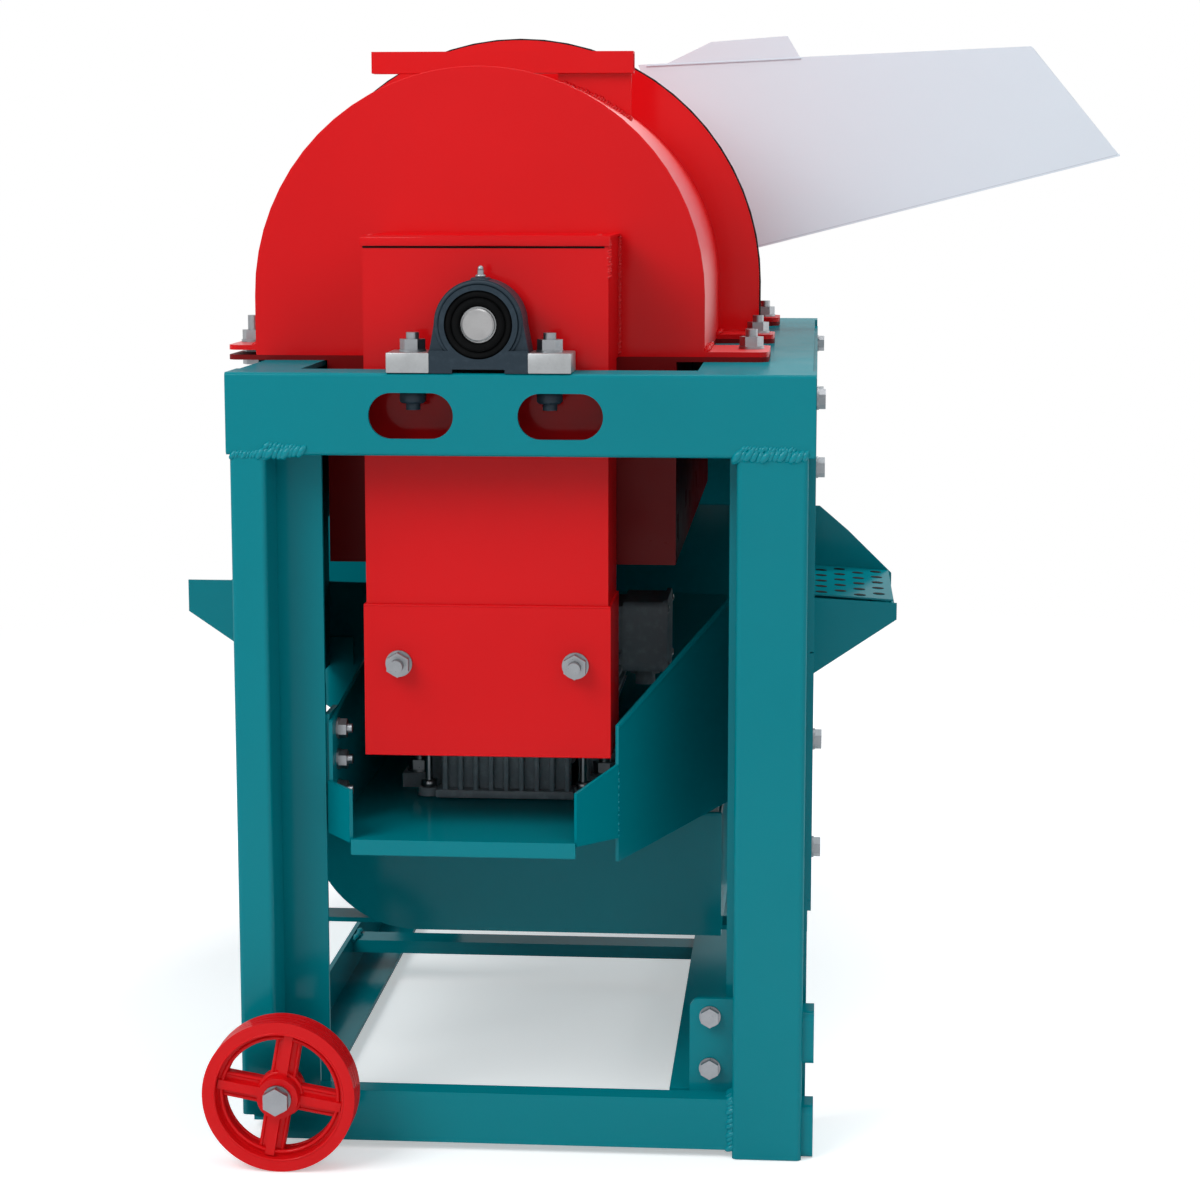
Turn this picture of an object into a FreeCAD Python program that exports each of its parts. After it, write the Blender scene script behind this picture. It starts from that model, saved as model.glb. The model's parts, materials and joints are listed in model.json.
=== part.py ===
"""Corn thresher: a peg drum under a red hood, driven by a motor through a guarded belt.

Millimetres. X runs to the right, Y away from the belt side, Z up. The machine is laid out
from the floor, the middle of the front beam and its front face; at the end every piece is
moved so that the origin lies on the floor under the middle of the whole machine.
"""
import FreeCAD, Part
import math
import os

V = FreeCAD.Vector
ALONG_X = V(1, 0, 0)
ALONG_Y = V(0, 1, 0)
ALONG_Z = V(0, 0, 1)

# Frame
FRAME_WIDTH = 449.0
FRAME_DEPTH = 900.0
FRAME_TOP = 613.0
BEAM_HEIGHT = 63.0
BEAM_FLANGE = 45.0
BEAM_WALL = 4.0
BEAM_CORNER = 6.0
SLOT_WIDTH = 65.0
SLOT_HEIGHT = 35.0
SLOT_LEFT_X = -82.0
SLOT_RIGHT_X = 32.0
LEG_WALL = 3.0
LEG_CORNER = 4.0
LEG_INSET = 2.5
LEFT_LEG_WIDTH = 28.0
RIGHT_LEG_WIDTH = 54.0
LEFT_LEG_FOOT = 26.0
POST_FACE = 63.0
POST_SIDE = 50.0
ANGLE_WALL = 4.0
TOP_RAIL_FLANGE = 88.0
TOP_RAIL_DROP = 50.0
BAR_TOP = 47.0
BAR_HEIGHT = 41.0
BAR_DEPTH = 20.0
BAR_SETBACK = 4.0
RAIL_SIZE = 40.0
LEFT_RAIL_X = -214.0
RIGHT_RAIL_X = 155.0
CROSSBAR_Y = 450.0
CROSSBAR_WIDTH = 30.0
CROSSBAR_THICK = 12.0
BRACKET_LEFT_X = 131.0
BRACKET_TOP = 122.0
BRACKET_BOTTOM = 38.0
BRACKET_WALL = 5.0
LUG_WALL = 9.0
BRACKET_BOLT_X = 147.0
BRACKET_BOLT_HEIGHTS = (66.0, 108.0)
FOOT_PLATE_HEIGHT = 60.0
FOOT_PLATE_LENGTH = 70.0
PANEL_WALL = 3.0
PANEL_TOP_GAP = 6.0
PANEL_SPLIT_Z = 395.0
PANEL_LOW_Z = 185.0
PANEL_STEP_Z = 452.0
PANEL_STEP_Y = 375.0
PANEL_BOLT_Y = 70.0
UPPER_PANEL_BOLTS = (537.0, 590.0)
LOWER_PANEL_BOLTS = (235.0, 322.0)
REAR_SCREWS = (260.0, 500.0)
REAR_SCREW_EDGE = 14.0

# Drum, its bearings and its shaft
AXIS_X = -30.0
BEARING_RISE = 36.5
BEARING_BASE = 140.0
BEARING_DEPTH = 38.0
BEARING_FOOT = 15.0
BEARING_RADIUS = 34.0
BEARING_BORE = 26.0
BEARING_BOLTS = 105.0
INSERT_WIDTH = 31.0
SHAFT_RADIUS = 12.5
SHAFT_PROUD = 3.0
RUNNING_FIT = 0.05
SIDE_FIT = 0.3
DRUM_RADIUS = 85.0
DRUM_WALL = 4.0
PEG_REACH = 38.0
PEG_RADIUS = 6.0
PEG_ROWS = 6
PEGS_PER_ROW = 9
PEG_SINK = 2.0
DRUM_END_GAP = 14.0
CONCAVE_RADIUS = 136.0
CONCAVE_ROD = 4.0
CONCAVE_RODS = 17
CONCAVE_RIB_DEPTH = 8.0
CONCAVE_RIB_WIDTH = 10.0

# Hood, tub and hopper
HOOD_FRONT = 150.0
HOOD_JOINT = 476.0
HOOD_REAR = 800.0
HOOD_RADIUS = 182.0
HOOD_X = -48.0
HOOD_Z = 665.0
HOOD_WALL = 2.5
HOOD_BASE = 617.0
RING_HEIGHT = 37.0
RING_WALL = 4.0
LEFT_EAR = 24.0
RIGHT_EAR = 52.0
EAR_WALL = 4.0
LEFT_BOLT_OUT = 12.0
RIGHT_BOLT_OUT = 37.0
LEFT_EAR_LIFT = 4.0
FRONT_EAR = (HOOD_FRONT, HOOD_FRONT + 100.0)
JOINT_EAR = (HOOD_JOINT - 62.0, HOOD_JOINT - RING_WALL)
REAR_EAR = (HOOD_REAR - 70.0, HOOD_REAR)
TUB_HALF = 142.0
TUB_WALL = 2.5
TUB_CLEAR = 2.0
TUB_BOTTOM = 448.0
SLIDE_TOP = 500.0
SLIDE_LAP = 10.0
LIFT_BAR_Y = 290.0
LIFT_BAR_SIZE = 18.0
LIFT_BAR_LEFT = -154.0
LIFT_BAR_RIGHT = 68.0
HOPPER_NEAR = 620.0
HOPPER_FAR = 786.0
HOPPER_WALL = 2.0
HOPPER_MOUTH_X = 510.0
HOPPER_MOUTH_Z = 781.0
HOPPER_TOP_X = 424.0
HOPPER_TOP_Z = 884.0
HOPPER_ROOT_X = 120.0
HOPPER_SLOPE = 0.254
HOPPER_ROOT_TOP_Z = 868.0
HOPPER_ROOT_TOP_X = 50.0
FLAP_RISE = 20.0
FLAP_LEFT = 78.0
FLAP_RIGHT = 205.0

# Belt drive and guard
GUARD_FRONT = 46.0
GUARD_WIDTH = 190.0
GUARD_WALL = 2.0
GUARD_REAR = 132.0
GUARD_BOTTOM = 316.0
BOX_TOP = 713.5
SLEEVE_TOP = 429.0
SLEEVE_BOTTOM = 309.0
GUARD_STUDS = 139.0
GUARD_STUD_Z = 382.5
PULLEY_FRONT = 72.0
PULLEY_WIDTH = 38.0
GROOVES = 2
GROOVE_PITCH = 18.0
DRUM_PULLEY_RADIUS = 56.0
MOTOR_PULLEY_RADIUS = 35.0
BELT_TOP_WIDTH = 12.4
BELT_BOTTOM_WIDTH = 7.4
BELT_DEPTH = 8.5
GROOVE_TOP_WIDTH = 13.2
GROOVE_BOTTOM_WIDTH = 8.0
GROOVE_DEPTH = 10.5
BELT_CROWN = 1.0

# Motor and its tray
MOTOR_Z = 348.0
MOTOR_SHAFT_HEIGHT = 100.0
MOTOR_FRONT = 165.0
MOTOR_BELL = 28.0
MOTOR_LENGTH = 150.0
MOTOR_CORE = 76.0
MOTOR_FIN_RADIUS = 93.0
MOTOR_FINS = 9
MOTOR_FIN_PITCH = 13.5
MOTOR_FIN_WALL = 3.2
MOTOR_COWL = 48.0
MOTOR_SHAFT_RADIUS = 12.0
MOTOR_FOOT_WIDTH = 34.0
MOTOR_FOOT_LENGTH = 130.0
MOTOR_FOOT_WALL = 12.0
MOTOR_FOOT_BOLTS = 150.0
TRAY_WALL = 3.0
TRAY_FRONT = 14.0
TRAY_NECK = 46.0
TRAY_REAR = 392.0
TRAY_LEFT = -156.5
TRAY_RIGHT = 98.0
TRAY_MOUTH_LEFT = -134.0
TRAY_MOUTH_RIGHT = 42.0
TRAY_NECK_RIGHT = 72.0
TRAY_LIP = 12.0
TRAY_SIDE_FRONT_Z = 334.0
TRAY_SIDE_REAR_Z = 376.0
TRAY_MOUTH_WALL = 42.0
WING_X = 160.0
WING_REAR = 200.0
WING_FRONT_LOW = 226.0
WING_FRONT_TOP = 335.0
WING_REAR_LOW = 245.0
WING_REAR_TOP = 420.0
WING_CAP = 440.0
TRAY_FLARE_Y = 118.0
BEARER_WALL = 6.0

# Grain pan and trough
PAN_NEAR = 400.0
PAN_FAR = 598.0
PAN_WALL = 2.0
PAN_RIGHT_X = 299.0
PAN_LEFT_X = -349.0
PAN_EDGE_Z = 366.0
PAN_SLOPE = 0.68
PAN_BOTTOM_HALF = 90.0
PAN_MOUTH_HALF = 40.0
PAN_FRONT_RISE = 15.0
PAN_BACK_Z = 446.0
PAN_HOLE_RADIUS = 4.5
PAN_HOLE_PITCH = 20.0
TROUGH_FRONT = 176.0
TROUGH_REAR = 680.0
TROUGH_FLOOR = 131.0
TROUGH_WALL = 3.0
TROUGH_LEFT = -197.0
TROUGH_RIGHT = 150.0
TROUGH_RIM_Z = 236.0
TROUGH_CORNER = 90.0
TROUGH_CLEAR = 3.0
PAN_HANGER_LOW = 318.0
PAN_HANGER_FACE = 26.0
HANGER_LAP = 60.0
STIRRUP_WIDTH = 30.0
STIRRUPS = ((210.0, 245.0), (640.0, 460.0))

# Wheels
WHEEL_X = -182.0
WHEEL_RADIUS = 59.5
WHEEL_WIDTH = 26.0
WHEEL_FRONT = -55.0
WHEEL_RIM = 10.0
WHEEL_HUB_RADIUS = 16.0
WHEEL_HUB_PROUD = 3.0
WHEEL_SPOKES = 4
WHEEL_SPOKE_TURN = -10.0
WHEEL_SPOKE_WIDTH = 19.0
WHEEL_RIB_WIDTH = 7.0
WHEEL_WEB = 8.0
TREAD_GROOVES = 3
TREAD_GROOVE = 1.2
AXLE_RADIUS = 5.5
WHEEL_PLATE_WALL = 5.0

# Fasteners
M10 = 5.0
M8 = 4.0
HOLE_FIT = 0.5
NUT_FIT = 0.1

# Levels and faces that follow from the sizes above
SIDE_X = FRAME_WIDTH / 2 - LEG_INSET
BEAM_BOTTOM = FRAME_TOP - BEAM_HEIGHT
AXIS_Z = FRAME_TOP + BEARING_RISE
BEARING_Y = BEARING_DEPTH / 2
REAR_BEARING_Y = FRAME_DEPTH - BEARING_DEPTH / 2
WHEEL_Z = WHEEL_RADIUS
TRAY_FLOOR = MOTOR_Z - MOTOR_SHAFT_HEIGHT - TRAY_WALL
HOOD_LEFT = HOOD_X - HOOD_RADIUS
HOOD_RIGHT = HOOD_X + HOOD_RADIUS
EAR_BOLTS_LEFT = HOOD_LEFT - LEFT_BOLT_OUT
EAR_BOLTS_RIGHT = HOOD_RIGHT + RIGHT_BOLT_OUT
EARS = (FRONT_EAR, JOINT_EAR, REAR_EAR)

pieces = {}


def box(x, y, z):
    """A block between the (low, high) pairs x, y and z."""
    return Part.makeBox(x[1] - x[0], y[1] - y[0], z[1] - z[0], V(x[0], y[0], z[0]))


def rod(radius, start, axis, length):
    """A round bar from start along axis."""
    return Part.makeCylinder(radius, length, start, axis)


def ring(outer, inner, start, axis, length):
    """A round tube from start along axis."""
    return rod(outer, start, axis, length).cut(rod(inner, start, axis, length))


def face_of(points):
    """A flat face through a closed run of corner points."""
    return Part.Face(Part.makePolygon(list(points) + [points[0]]))


def plate_xz(corners, y, thick):
    """A plate facing the belt side: (x, z) corners, thick away from y."""
    return face_of([V(a, y, b) for a, b in corners]).extrude(V(0, thick, 0))


def plate_yz(corners, x, thick):
    """A plate facing sideways: (y, z) corners, thick to the right from x."""
    return face_of([V(x, a, b) for a, b in corners]).extrude(V(thick, 0, 0))


def plate_xy(corners, z, thick):
    """A level plate: (x, y) corners, thick upwards from z."""
    return face_of([V(a, b, z) for a, b in corners]).extrude(V(0, 0, thick))


def fused(shapes):
    """One solid from shapes that share faces or overlap."""
    whole = shapes[0]
    if len(shapes) > 1:
        whole = whole.multiFuse(shapes[1:])
    return whole.removeSplitter()


def drilled(shape, holes):
    """The shape with round holes, each (radius, start, axis, length)."""
    for radius, start, axis, length in holes:
        shape = shape.cut(rod(radius, start, axis, length))
    return shape


def to_rear(shape):
    """The same piece on the rear gate of the frame."""
    return shape.mirror(V(0, FRAME_DEPTH / 2, 0), ALONG_Y)


def upright_edges(shape, axis):
    """The straight edges of a shape that run along axis."""
    found = []
    for edge in shape.Edges:
        if isinstance(edge.Curve, (Part.Line, Part.LineSegment)):
            along = edge.Vertexes[-1].Point.sub(edge.Vertexes[0].Point)
            if along.Length > 0 and abs(along.normalize().dot(axis)) > 0.999:
                found.append(edge)
    return found


def rounded(shape, axis, radius):
    """The shape with its long edges along axis rounded."""
    return shape.makeFillet(radius, upright_edges(shape, axis))


def box_tube(x, y, z, wall, corner):
    """An upright box tube with rounded corners."""
    outer = rounded(box(x, y, z), ALONG_Z, corner)
    hollow = box((x[0] + wall, x[1] - wall), (y[0] + wall, y[1] - wall), z)
    return outer.cut(hollow)


def hexagon(across, start, axis, height):
    """A hexagonal prism along axis, as bolt heads and nuts are."""
    radius = across / math.sqrt(3)
    side = V(0, 0, 1) if abs(axis.z) < 0.5 else V(1, 0, 0)
    turn = FreeCAD.Rotation(axis, 60)
    points = []
    spoke = V(side).multiply(radius)
    for _ in range(6):
        points.append(start.add(spoke))
        spoke = turn.multVec(spoke)
    return face_of(points).extrude(V(axis).multiply(height))


def bolt(radius, under_head, axis, length):
    """A hexagon bolt: its head lies behind under_head, its shank runs along axis."""
    head_height = 1.3 * radius
    head = hexagon(3.4 * radius, under_head.sub(V(axis).multiply(head_height)), axis, head_height)
    return fused([head, rod(radius, under_head, axis, length)])


def nut(radius, start, axis):
    """A washer and a nut in one turned-up stack from start along axis."""
    washer = rod(2.1 * radius, start, axis, 0.4 * radius)
    top = start.add(V(axis).multiply(0.4 * radius))
    body = hexagon(3.4 * radius, top, axis, 1.6 * radius)
    bore = rod(radius + NUT_FIT, start, axis, 2.0 * radius)
    return fused([washer, body]).cut(bore)


def fastener(radius, under_head, axis, grip):
    """A bolt with washer under its head and a nut beyond its grip."""
    washer = ring(2.1 * radius, radius + NUT_FIT, under_head, axis, 0.4 * radius)
    length = grip + 3.4 * radius
    far = under_head.add(V(axis).multiply(grip + 0.4 * radius))
    return [bolt(radius, under_head, axis, length), washer, nut(radius, far, axis)]


# Frame pieces
def channel_beam():
    """Front beam: a channel with its web to the front and two hand slots."""
    half = FRAME_WIDTH / 2
    outer = box((-half, half), (0, BEAM_FLANGE), (BEAM_BOTTOM, FRAME_TOP))
    front_edges = []
    for edge in upright_edges(outer, ALONG_X):
        if edge.CenterOfMass.y < BEAM_WALL:
            front_edges.append(edge)
    outer = outer.makeFillet(BEAM_CORNER / 2, front_edges)
    inner = box((-half, half), (BEAM_WALL, BEAM_FLANGE),
                (BEAM_BOTTOM + BEAM_WALL, FRAME_TOP - BEAM_WALL))
    beam = outer.cut(inner)
    for slot_x in (SLOT_LEFT_X, SLOT_RIGHT_X):
        beam = beam.cut(hand_slot(slot_x))
    for side in (-1, 1):
        spot = V(AXIS_X + side * BEARING_BOLTS / 2, BEARING_Y, FRAME_TOP - BEAM_WALL)
        beam = beam.cut(rod(M10 + HOLE_FIT, spot, ALONG_Z, BEAM_WALL))
    return beam


def hand_slot(centre_x):
    """A round-ended slot through the web of the beam."""
    radius = SLOT_HEIGHT / 2
    reach = (SLOT_WIDTH - SLOT_HEIGHT) / 2
    centre_z = BEAM_BOTTOM + BEAM_HEIGHT / 2 - 1.0
    cut = box((centre_x - reach, centre_x + reach), (0, BEAM_WALL),
              (centre_z - radius, centre_z + radius))
    ends = []
    for side in (-1, 1):
        ends.append(rod(radius, V(centre_x + side * reach, 0, centre_z), ALONG_Y, BEAM_WALL))
    return fused([cut] + ends)


def left_leg():
    """Narrow leg on the wheel side; it stops above the floor."""
    return box_tube((-SIDE_X, -SIDE_X + LEFT_LEG_WIDTH), (0, BEAM_FLANGE),
                    (LEFT_LEG_FOOT, BEAM_BOTTOM), LEG_WALL, LEG_CORNER)


def right_leg():
    """Wide leg that stands on the floor, closed by a foot at its lower end."""
    x = (SIDE_X - LEG_INSET - RIGHT_LEG_WIDTH, SIDE_X - LEG_INSET)
    tube = box_tube(x, (0, BEAM_FLANGE), (0, BEAM_BOTTOM), LEG_WALL, LEG_CORNER)
    foot = box((x[0] + LEG_WALL, x[1] - LEG_WALL), (LEG_WALL, BEAM_FLANGE - LEG_WALL), (0, LEG_WALL))
    return fused([tube, foot])


def corner_posts():
    """The two angle posts behind the front gate, flanges turned inwards."""
    posts = []
    low = BAR_TOP - BAR_HEIGHT
    high = FRAME_TOP - ANGLE_WALL
    near = BEAM_FLANGE
    for side in (-1, 1):
        outer = side * SIDE_X
        face = sorted((outer, outer - side * POST_FACE))
        flank = sorted((outer, outer - side * ANGLE_WALL))
        front = box(face, (near, near + ANGLE_WALL), (low, high))
        flange = box(flank, (near + ANGLE_WALL, near + POST_SIDE), (low, high))
        posts.append(fused([front, flange]))
    return posts


def bolted(posts):
    """The posts with the holes that the side panels are bolted through."""
    result = []
    for post in posts:
        for height in UPPER_PANEL_BOLTS:
            start = V(-SIDE_X - 1, FRAME_DEPTH - PANEL_BOLT_Y, height)
            post = post.cut(rod(M8 + HOLE_FIT, start, ALONG_X, 2 * SIDE_X + 2))
        for height in UPPER_PANEL_BOLTS + LOWER_PANEL_BOLTS:
            start = V(-SIDE_X - 1, PANEL_BOLT_Y, height)
            post = post.cut(rod(M8 + HOLE_FIT, start, ALONG_X, 2 * SIDE_X + 2))
        for x, height in rear_screw_spots():
            start = V(x, FRAME_DEPTH - POST_SIDE - BEAM_FLANGE, height)
            post = post.cut(rod(M8 + HOLE_FIT, start, ALONG_Y, POST_SIDE))
        result.append(post)
    return result


def rear_screw_spots():
    """(x, z) of the screws that hold the rear panel on the posts."""
    spots = []
    for side in (-1, 1):
        for height in REAR_SCREWS:
            spots.append((side * (SIDE_X - POST_FACE + REAR_SCREW_EDGE), height))
    return spots


def rear_panel():
    """Sheet that closes the rear of the machine between the posts."""
    near = FRAME_DEPTH - BEAM_FLANGE - ANGLE_WALL - PANEL_WALL
    half = SIDE_X - ANGLE_WALL
    sheet = box((-half, half), (near, near + PANEL_WALL), (PANEL_LOW_Z, FRAME_TOP - TOP_RAIL_DROP))
    for x, height in rear_screw_spots():
        sheet = sheet.cut(rod(M8 + HOLE_FIT, V(x, near, height), ALONG_Y, PANEL_WALL))
    return sheet


def rear_screws():
    """Screws through the rear panel into the posts."""
    parts = []
    near = FRAME_DEPTH - BEAM_FLANGE - ANGLE_WALL - PANEL_WALL
    for x, height in rear_screw_spots():
        start = V(x, near - 0.4 * M8, height)
        parts.append(bolt(M8, start, ALONG_Y, 0.4 * M8 + PANEL_WALL + ANGLE_WALL))
        parts.append(ring(2.1 * M8, M8 + NUT_FIT, start, ALONG_Y, 0.4 * M8))
    return parts


def top_rail(side):
    """Angle rail along the top of one side; it carries the tub and the hood."""
    outer = side * SIDE_X
    y = (BEAM_FLANGE, FRAME_DEPTH - BEAM_FLANGE)
    room = SIDE_X + side * AXIS_X * -1 - TUB_HALF - TUB_CLEAR
    reach = min(TOP_RAIL_FLANGE, room)
    shelf = box(sorted((outer, outer - side * reach)), y, (FRAME_TOP - ANGLE_WALL, FRAME_TOP))
    drop = box(sorted((outer, outer - side * ANGLE_WALL)),
               (BEAM_FLANGE + POST_SIDE, FRAME_DEPTH - BEAM_FLANGE - POST_SIDE),
               (FRAME_TOP - TOP_RAIL_DROP, FRAME_TOP - ANGLE_WALL))
    rail = fused([shelf, drop])
    if side > 0:
        for near, far in EARS:
            spot = V(EAR_BOLTS_RIGHT, (near + far) / 2, FRAME_TOP - ANGLE_WALL)
            rail = rail.cut(rod(M10 + HOLE_FIT, spot, ALONG_Z, ANGLE_WALL))
    return rail


def bottom_bar():
    """Channel between the two front legs, just above the floor."""
    x = (-SIDE_X + LEFT_LEG_WIDTH, SIDE_X - LEG_INSET - RIGHT_LEG_WIDTH)
    z = (BAR_TOP - BAR_HEIGHT, BAR_TOP)
    y = (BAR_SETBACK, BAR_SETBACK + BAR_DEPTH)
    outer = box(x, y, z)
    inner = box(x, (y[0] + ANGLE_WALL, y[1]), (z[0] + ANGLE_WALL, z[1] - ANGLE_WALL))
    return outer.cut(inner)


def left_rail():
    """Lower angle rail on the wheel side, shelf at the bottom."""
    y = (BEAM_FLANGE + ANGLE_WALL, FRAME_DEPTH - BEAM_FLANGE - ANGLE_WALL)
    low = BAR_TOP - RAIL_SIZE
    web = box((LEFT_RAIL_X, LEFT_RAIL_X + ANGLE_WALL), y, (low, BAR_TOP))
    shelf = box((LEFT_RAIL_X, LEFT_RAIL_X + RAIL_SIZE), y, (low, low + ANGLE_WALL))
    return fused([web, shelf])


def right_rail():
    """Lower angle rail on the other side, shelf at the top."""
    edge = BAR_SETBACK + BAR_DEPTH + BRACKET_WALL
    y = (edge, FRAME_DEPTH - edge)
    web = box((RIGHT_RAIL_X - ANGLE_WALL, RIGHT_RAIL_X), y, (BAR_TOP - RAIL_SIZE, BAR_TOP))
    shelf = box((RIGHT_RAIL_X - RAIL_SIZE, RIGHT_RAIL_X), y, (BAR_TOP - ANGLE_WALL, BAR_TOP))
    return fused([web, shelf])


def crossbar():
    """Flat bar between the two lower rails."""
    top = BAR_TOP - ANGLE_WALL
    return box((LEFT_RAIL_X + ANGLE_WALL, RIGHT_RAIL_X - ANGLE_WALL),
               (CROSSBAR_Y, CROSSBAR_Y + CROSSBAR_WIDTH), (top - CROSSBAR_THICK, top))


def leg_bracket():
    """Bolted plate that ties the lower right rail to the wide leg."""
    y = BAR_SETBACK + BAR_DEPTH
    x = (BRACKET_LEFT_X, SIDE_X - LEG_INSET - RIGHT_LEG_WIDTH)
    plate = box(x, (y, y + BRACKET_WALL), (BRACKET_BOTTOM, BRACKET_TOP))
    corner = []
    for edge in upright_edges(plate, ALONG_Y):
        if edge.CenterOfMass.x < x[0] + 1 and edge.CenterOfMass.z > BRACKET_TOP - 1:
            corner.append(edge)
    plate = plate.makeFillet(8.0, corner)
    for height in BRACKET_BOLT_HEIGHTS:
        plate = plate.cut(rod(M8 + HOLE_FIT, V(BRACKET_BOLT_X, y, height), ALONG_Y, BRACKET_WALL))
    return plate


def bracket_bolts():
    """The two bolts of one leg bracket."""
    y = BAR_SETBACK + BAR_DEPTH
    parts = []
    for height in BRACKET_BOLT_HEIGHTS:
        start = V(BRACKET_BOLT_X, y - 0.4 * M8, height)
        parts += fastener(M8, start, ALONG_Y, BRACKET_WALL)
    return parts


def foot_plates():
    """Two lugs on the outer face of a wide leg, for a pull bar."""
    parts = []
    x = (SIDE_X - LEG_INSET, SIDE_X - LEG_INSET + LUG_WALL)
    for low in (0.0, FOOT_PLATE_HEIGHT + 16.0):
        lug = box(x, (6.0, 6.0 + 0.45 * FOOT_PLATE_LENGTH), (low, low + 0.7 * FOOT_PLATE_HEIGHT))
        lug = lug.makeFillet(6.0, upright_edges(lug, ALONG_X))
        parts.append(lug)
    return parts


def side_panel(corners, x, bolt_heights, bolt_ys):
    """A sheet side panel with its bolt holes."""
    sheet = plate_yz(corners, x, PANEL_WALL)
    for height in bolt_heights:
        for y in bolt_ys:
            sheet = sheet.cut(rod(M8 + HOLE_FIT, V(x, y, height), ALONG_X, PANEL_WALL))
    return sheet


def upper_panel_corners():
    """Outline of an upper side panel, raised over the pan where the pan comes through."""
    near = BEAM_FLANGE + 4.0
    far = FRAME_DEPTH - near
    top = FRAME_TOP - PANEL_TOP_GAP
    back = FRAME_DEPTH - PANEL_STEP_Y + 110.0
    return [(near, PANEL_SPLIT_Z), (PANEL_STEP_Y, PANEL_SPLIT_Z), (PANEL_STEP_Y, PANEL_STEP_Z),
            (back, PANEL_STEP_Z), (back, PANEL_SPLIT_Z), (far, PANEL_SPLIT_Z), (far, top), (near, top)]


def lower_panel_corners():
    """Outline of the lower side panel with one clipped corner."""
    near = BEAM_FLANGE + 4.0
    clip = 12.0
    top = PANEL_SPLIT_Z - 1.0
    return [(near, PANEL_LOW_Z + clip), (near + clip, PANEL_LOW_Z), (PANEL_STEP_Y, PANEL_LOW_Z),
            (PANEL_STEP_Y, top), (near, top)]


def panel_bolts():
    """Bolts that hold the side panels to the posts."""
    parts = []
    grip = PANEL_WALL + ANGLE_WALL
    rear = FRAME_DEPTH - PANEL_BOLT_Y
    places = []
    for height in UPPER_PANEL_BOLTS:
        places += [(1, PANEL_BOLT_Y, height), (1, rear, height)]
        places += [(-1, PANEL_BOLT_Y, height), (-1, rear, height)]
    for height in LOWER_PANEL_BOLTS:
        places += [(1, PANEL_BOLT_Y, height), (-1, PANEL_BOLT_Y, height)]
    for side, y, height in places:
        start = V(side * (SIDE_X + PANEL_WALL + 0.4 * M8), y, height)
        parts += fastener(M8, start, V(-side, 0, 0), grip)
    return parts


def build_frame():
    """All pieces of the welded frame and its side panels."""
    beam = channel_beam()
    pieces["front_beam"] = [beam]
    pieces["rear_beam"] = [to_rear(beam)]
    pieces["front_left_leg"] = [left_leg()]
    pieces["rear_left_leg"] = [to_rear(left_leg())]
    pieces["front_right_leg"] = [right_leg()]
    pieces["rear_right_leg"] = [to_rear(right_leg())]
    posts = corner_posts()
    pieces["corner_posts"] = bolted(posts + [to_rear(post) for post in posts])
    pieces["left_top_rail"] = [top_rail(-1)]
    pieces["right_top_rail"] = [top_rail(1)]
    pieces["front_bottom_bar"] = [bottom_bar()]
    pieces["rear_bottom_bar"] = [to_rear(bottom_bar())]
    pieces["left_bottom_rail"] = [left_rail()]
    pieces["right_bottom_rail"] = [right_rail()]
    pieces["crossbar"] = [crossbar()]
    pieces["leg_brackets"] = [leg_bracket(), to_rear(leg_bracket())]
    bolts = bracket_bolts()
    frame_bolts = bolts + [to_rear(item) for item in bolts] + panel_bolts() + tray_bolts() + rear_screws()
    pieces["pull_bar_lugs"] = foot_plates()
    both_ends = (PANEL_BOLT_Y, FRAME_DEPTH - PANEL_BOLT_Y)
    upper = upper_panel_corners()
    lower = lower_panel_corners()
    for name, x in (("right", SIDE_X), ("left", -SIDE_X - PANEL_WALL)):
        pieces[name + "_upper_panel"] = [side_panel(upper, x, UPPER_PANEL_BOLTS, both_ends)]
        pieces[name + "_lower_panel"] = [side_panel(lower, x, LOWER_PANEL_BOLTS, (PANEL_BOLT_Y,))]
    pieces["rear_panel"] = [rear_panel()]
    pieces["frame_bolts"] = frame_bolts


# Bearings and drum
def bearing_outline(radius, foot_half):
    """Front outline of a pillow block: arch, shoulders and foot, as a face at Y = 0."""
    floor = FRAME_TOP
    top_of_foot = floor + BEARING_FOOT
    shoulder = radius + 4.0
    arch = Part.Arc(V(AXIS_X - radius, 0, AXIS_Z), V(AXIS_X, 0, AXIS_Z + radius),
                    V(AXIS_X + radius, 0, AXIS_Z)).toShape()
    points = [V(AXIS_X + radius, 0, AXIS_Z), V(AXIS_X + shoulder, 0, top_of_foot),
              V(AXIS_X + foot_half, 0, top_of_foot), V(AXIS_X + foot_half, 0, floor),
              V(AXIS_X - foot_half, 0, floor), V(AXIS_X - foot_half, 0, top_of_foot),
              V(AXIS_X - shoulder, 0, top_of_foot), V(AXIS_X - radius, 0, AXIS_Z)]
    edges = [arch]
    for start, end in zip(points[:-1], points[1:]):
        edges.append(Part.LineSegment(start, end).toShape())
    return Part.Face(Part.Wire(edges))


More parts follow.
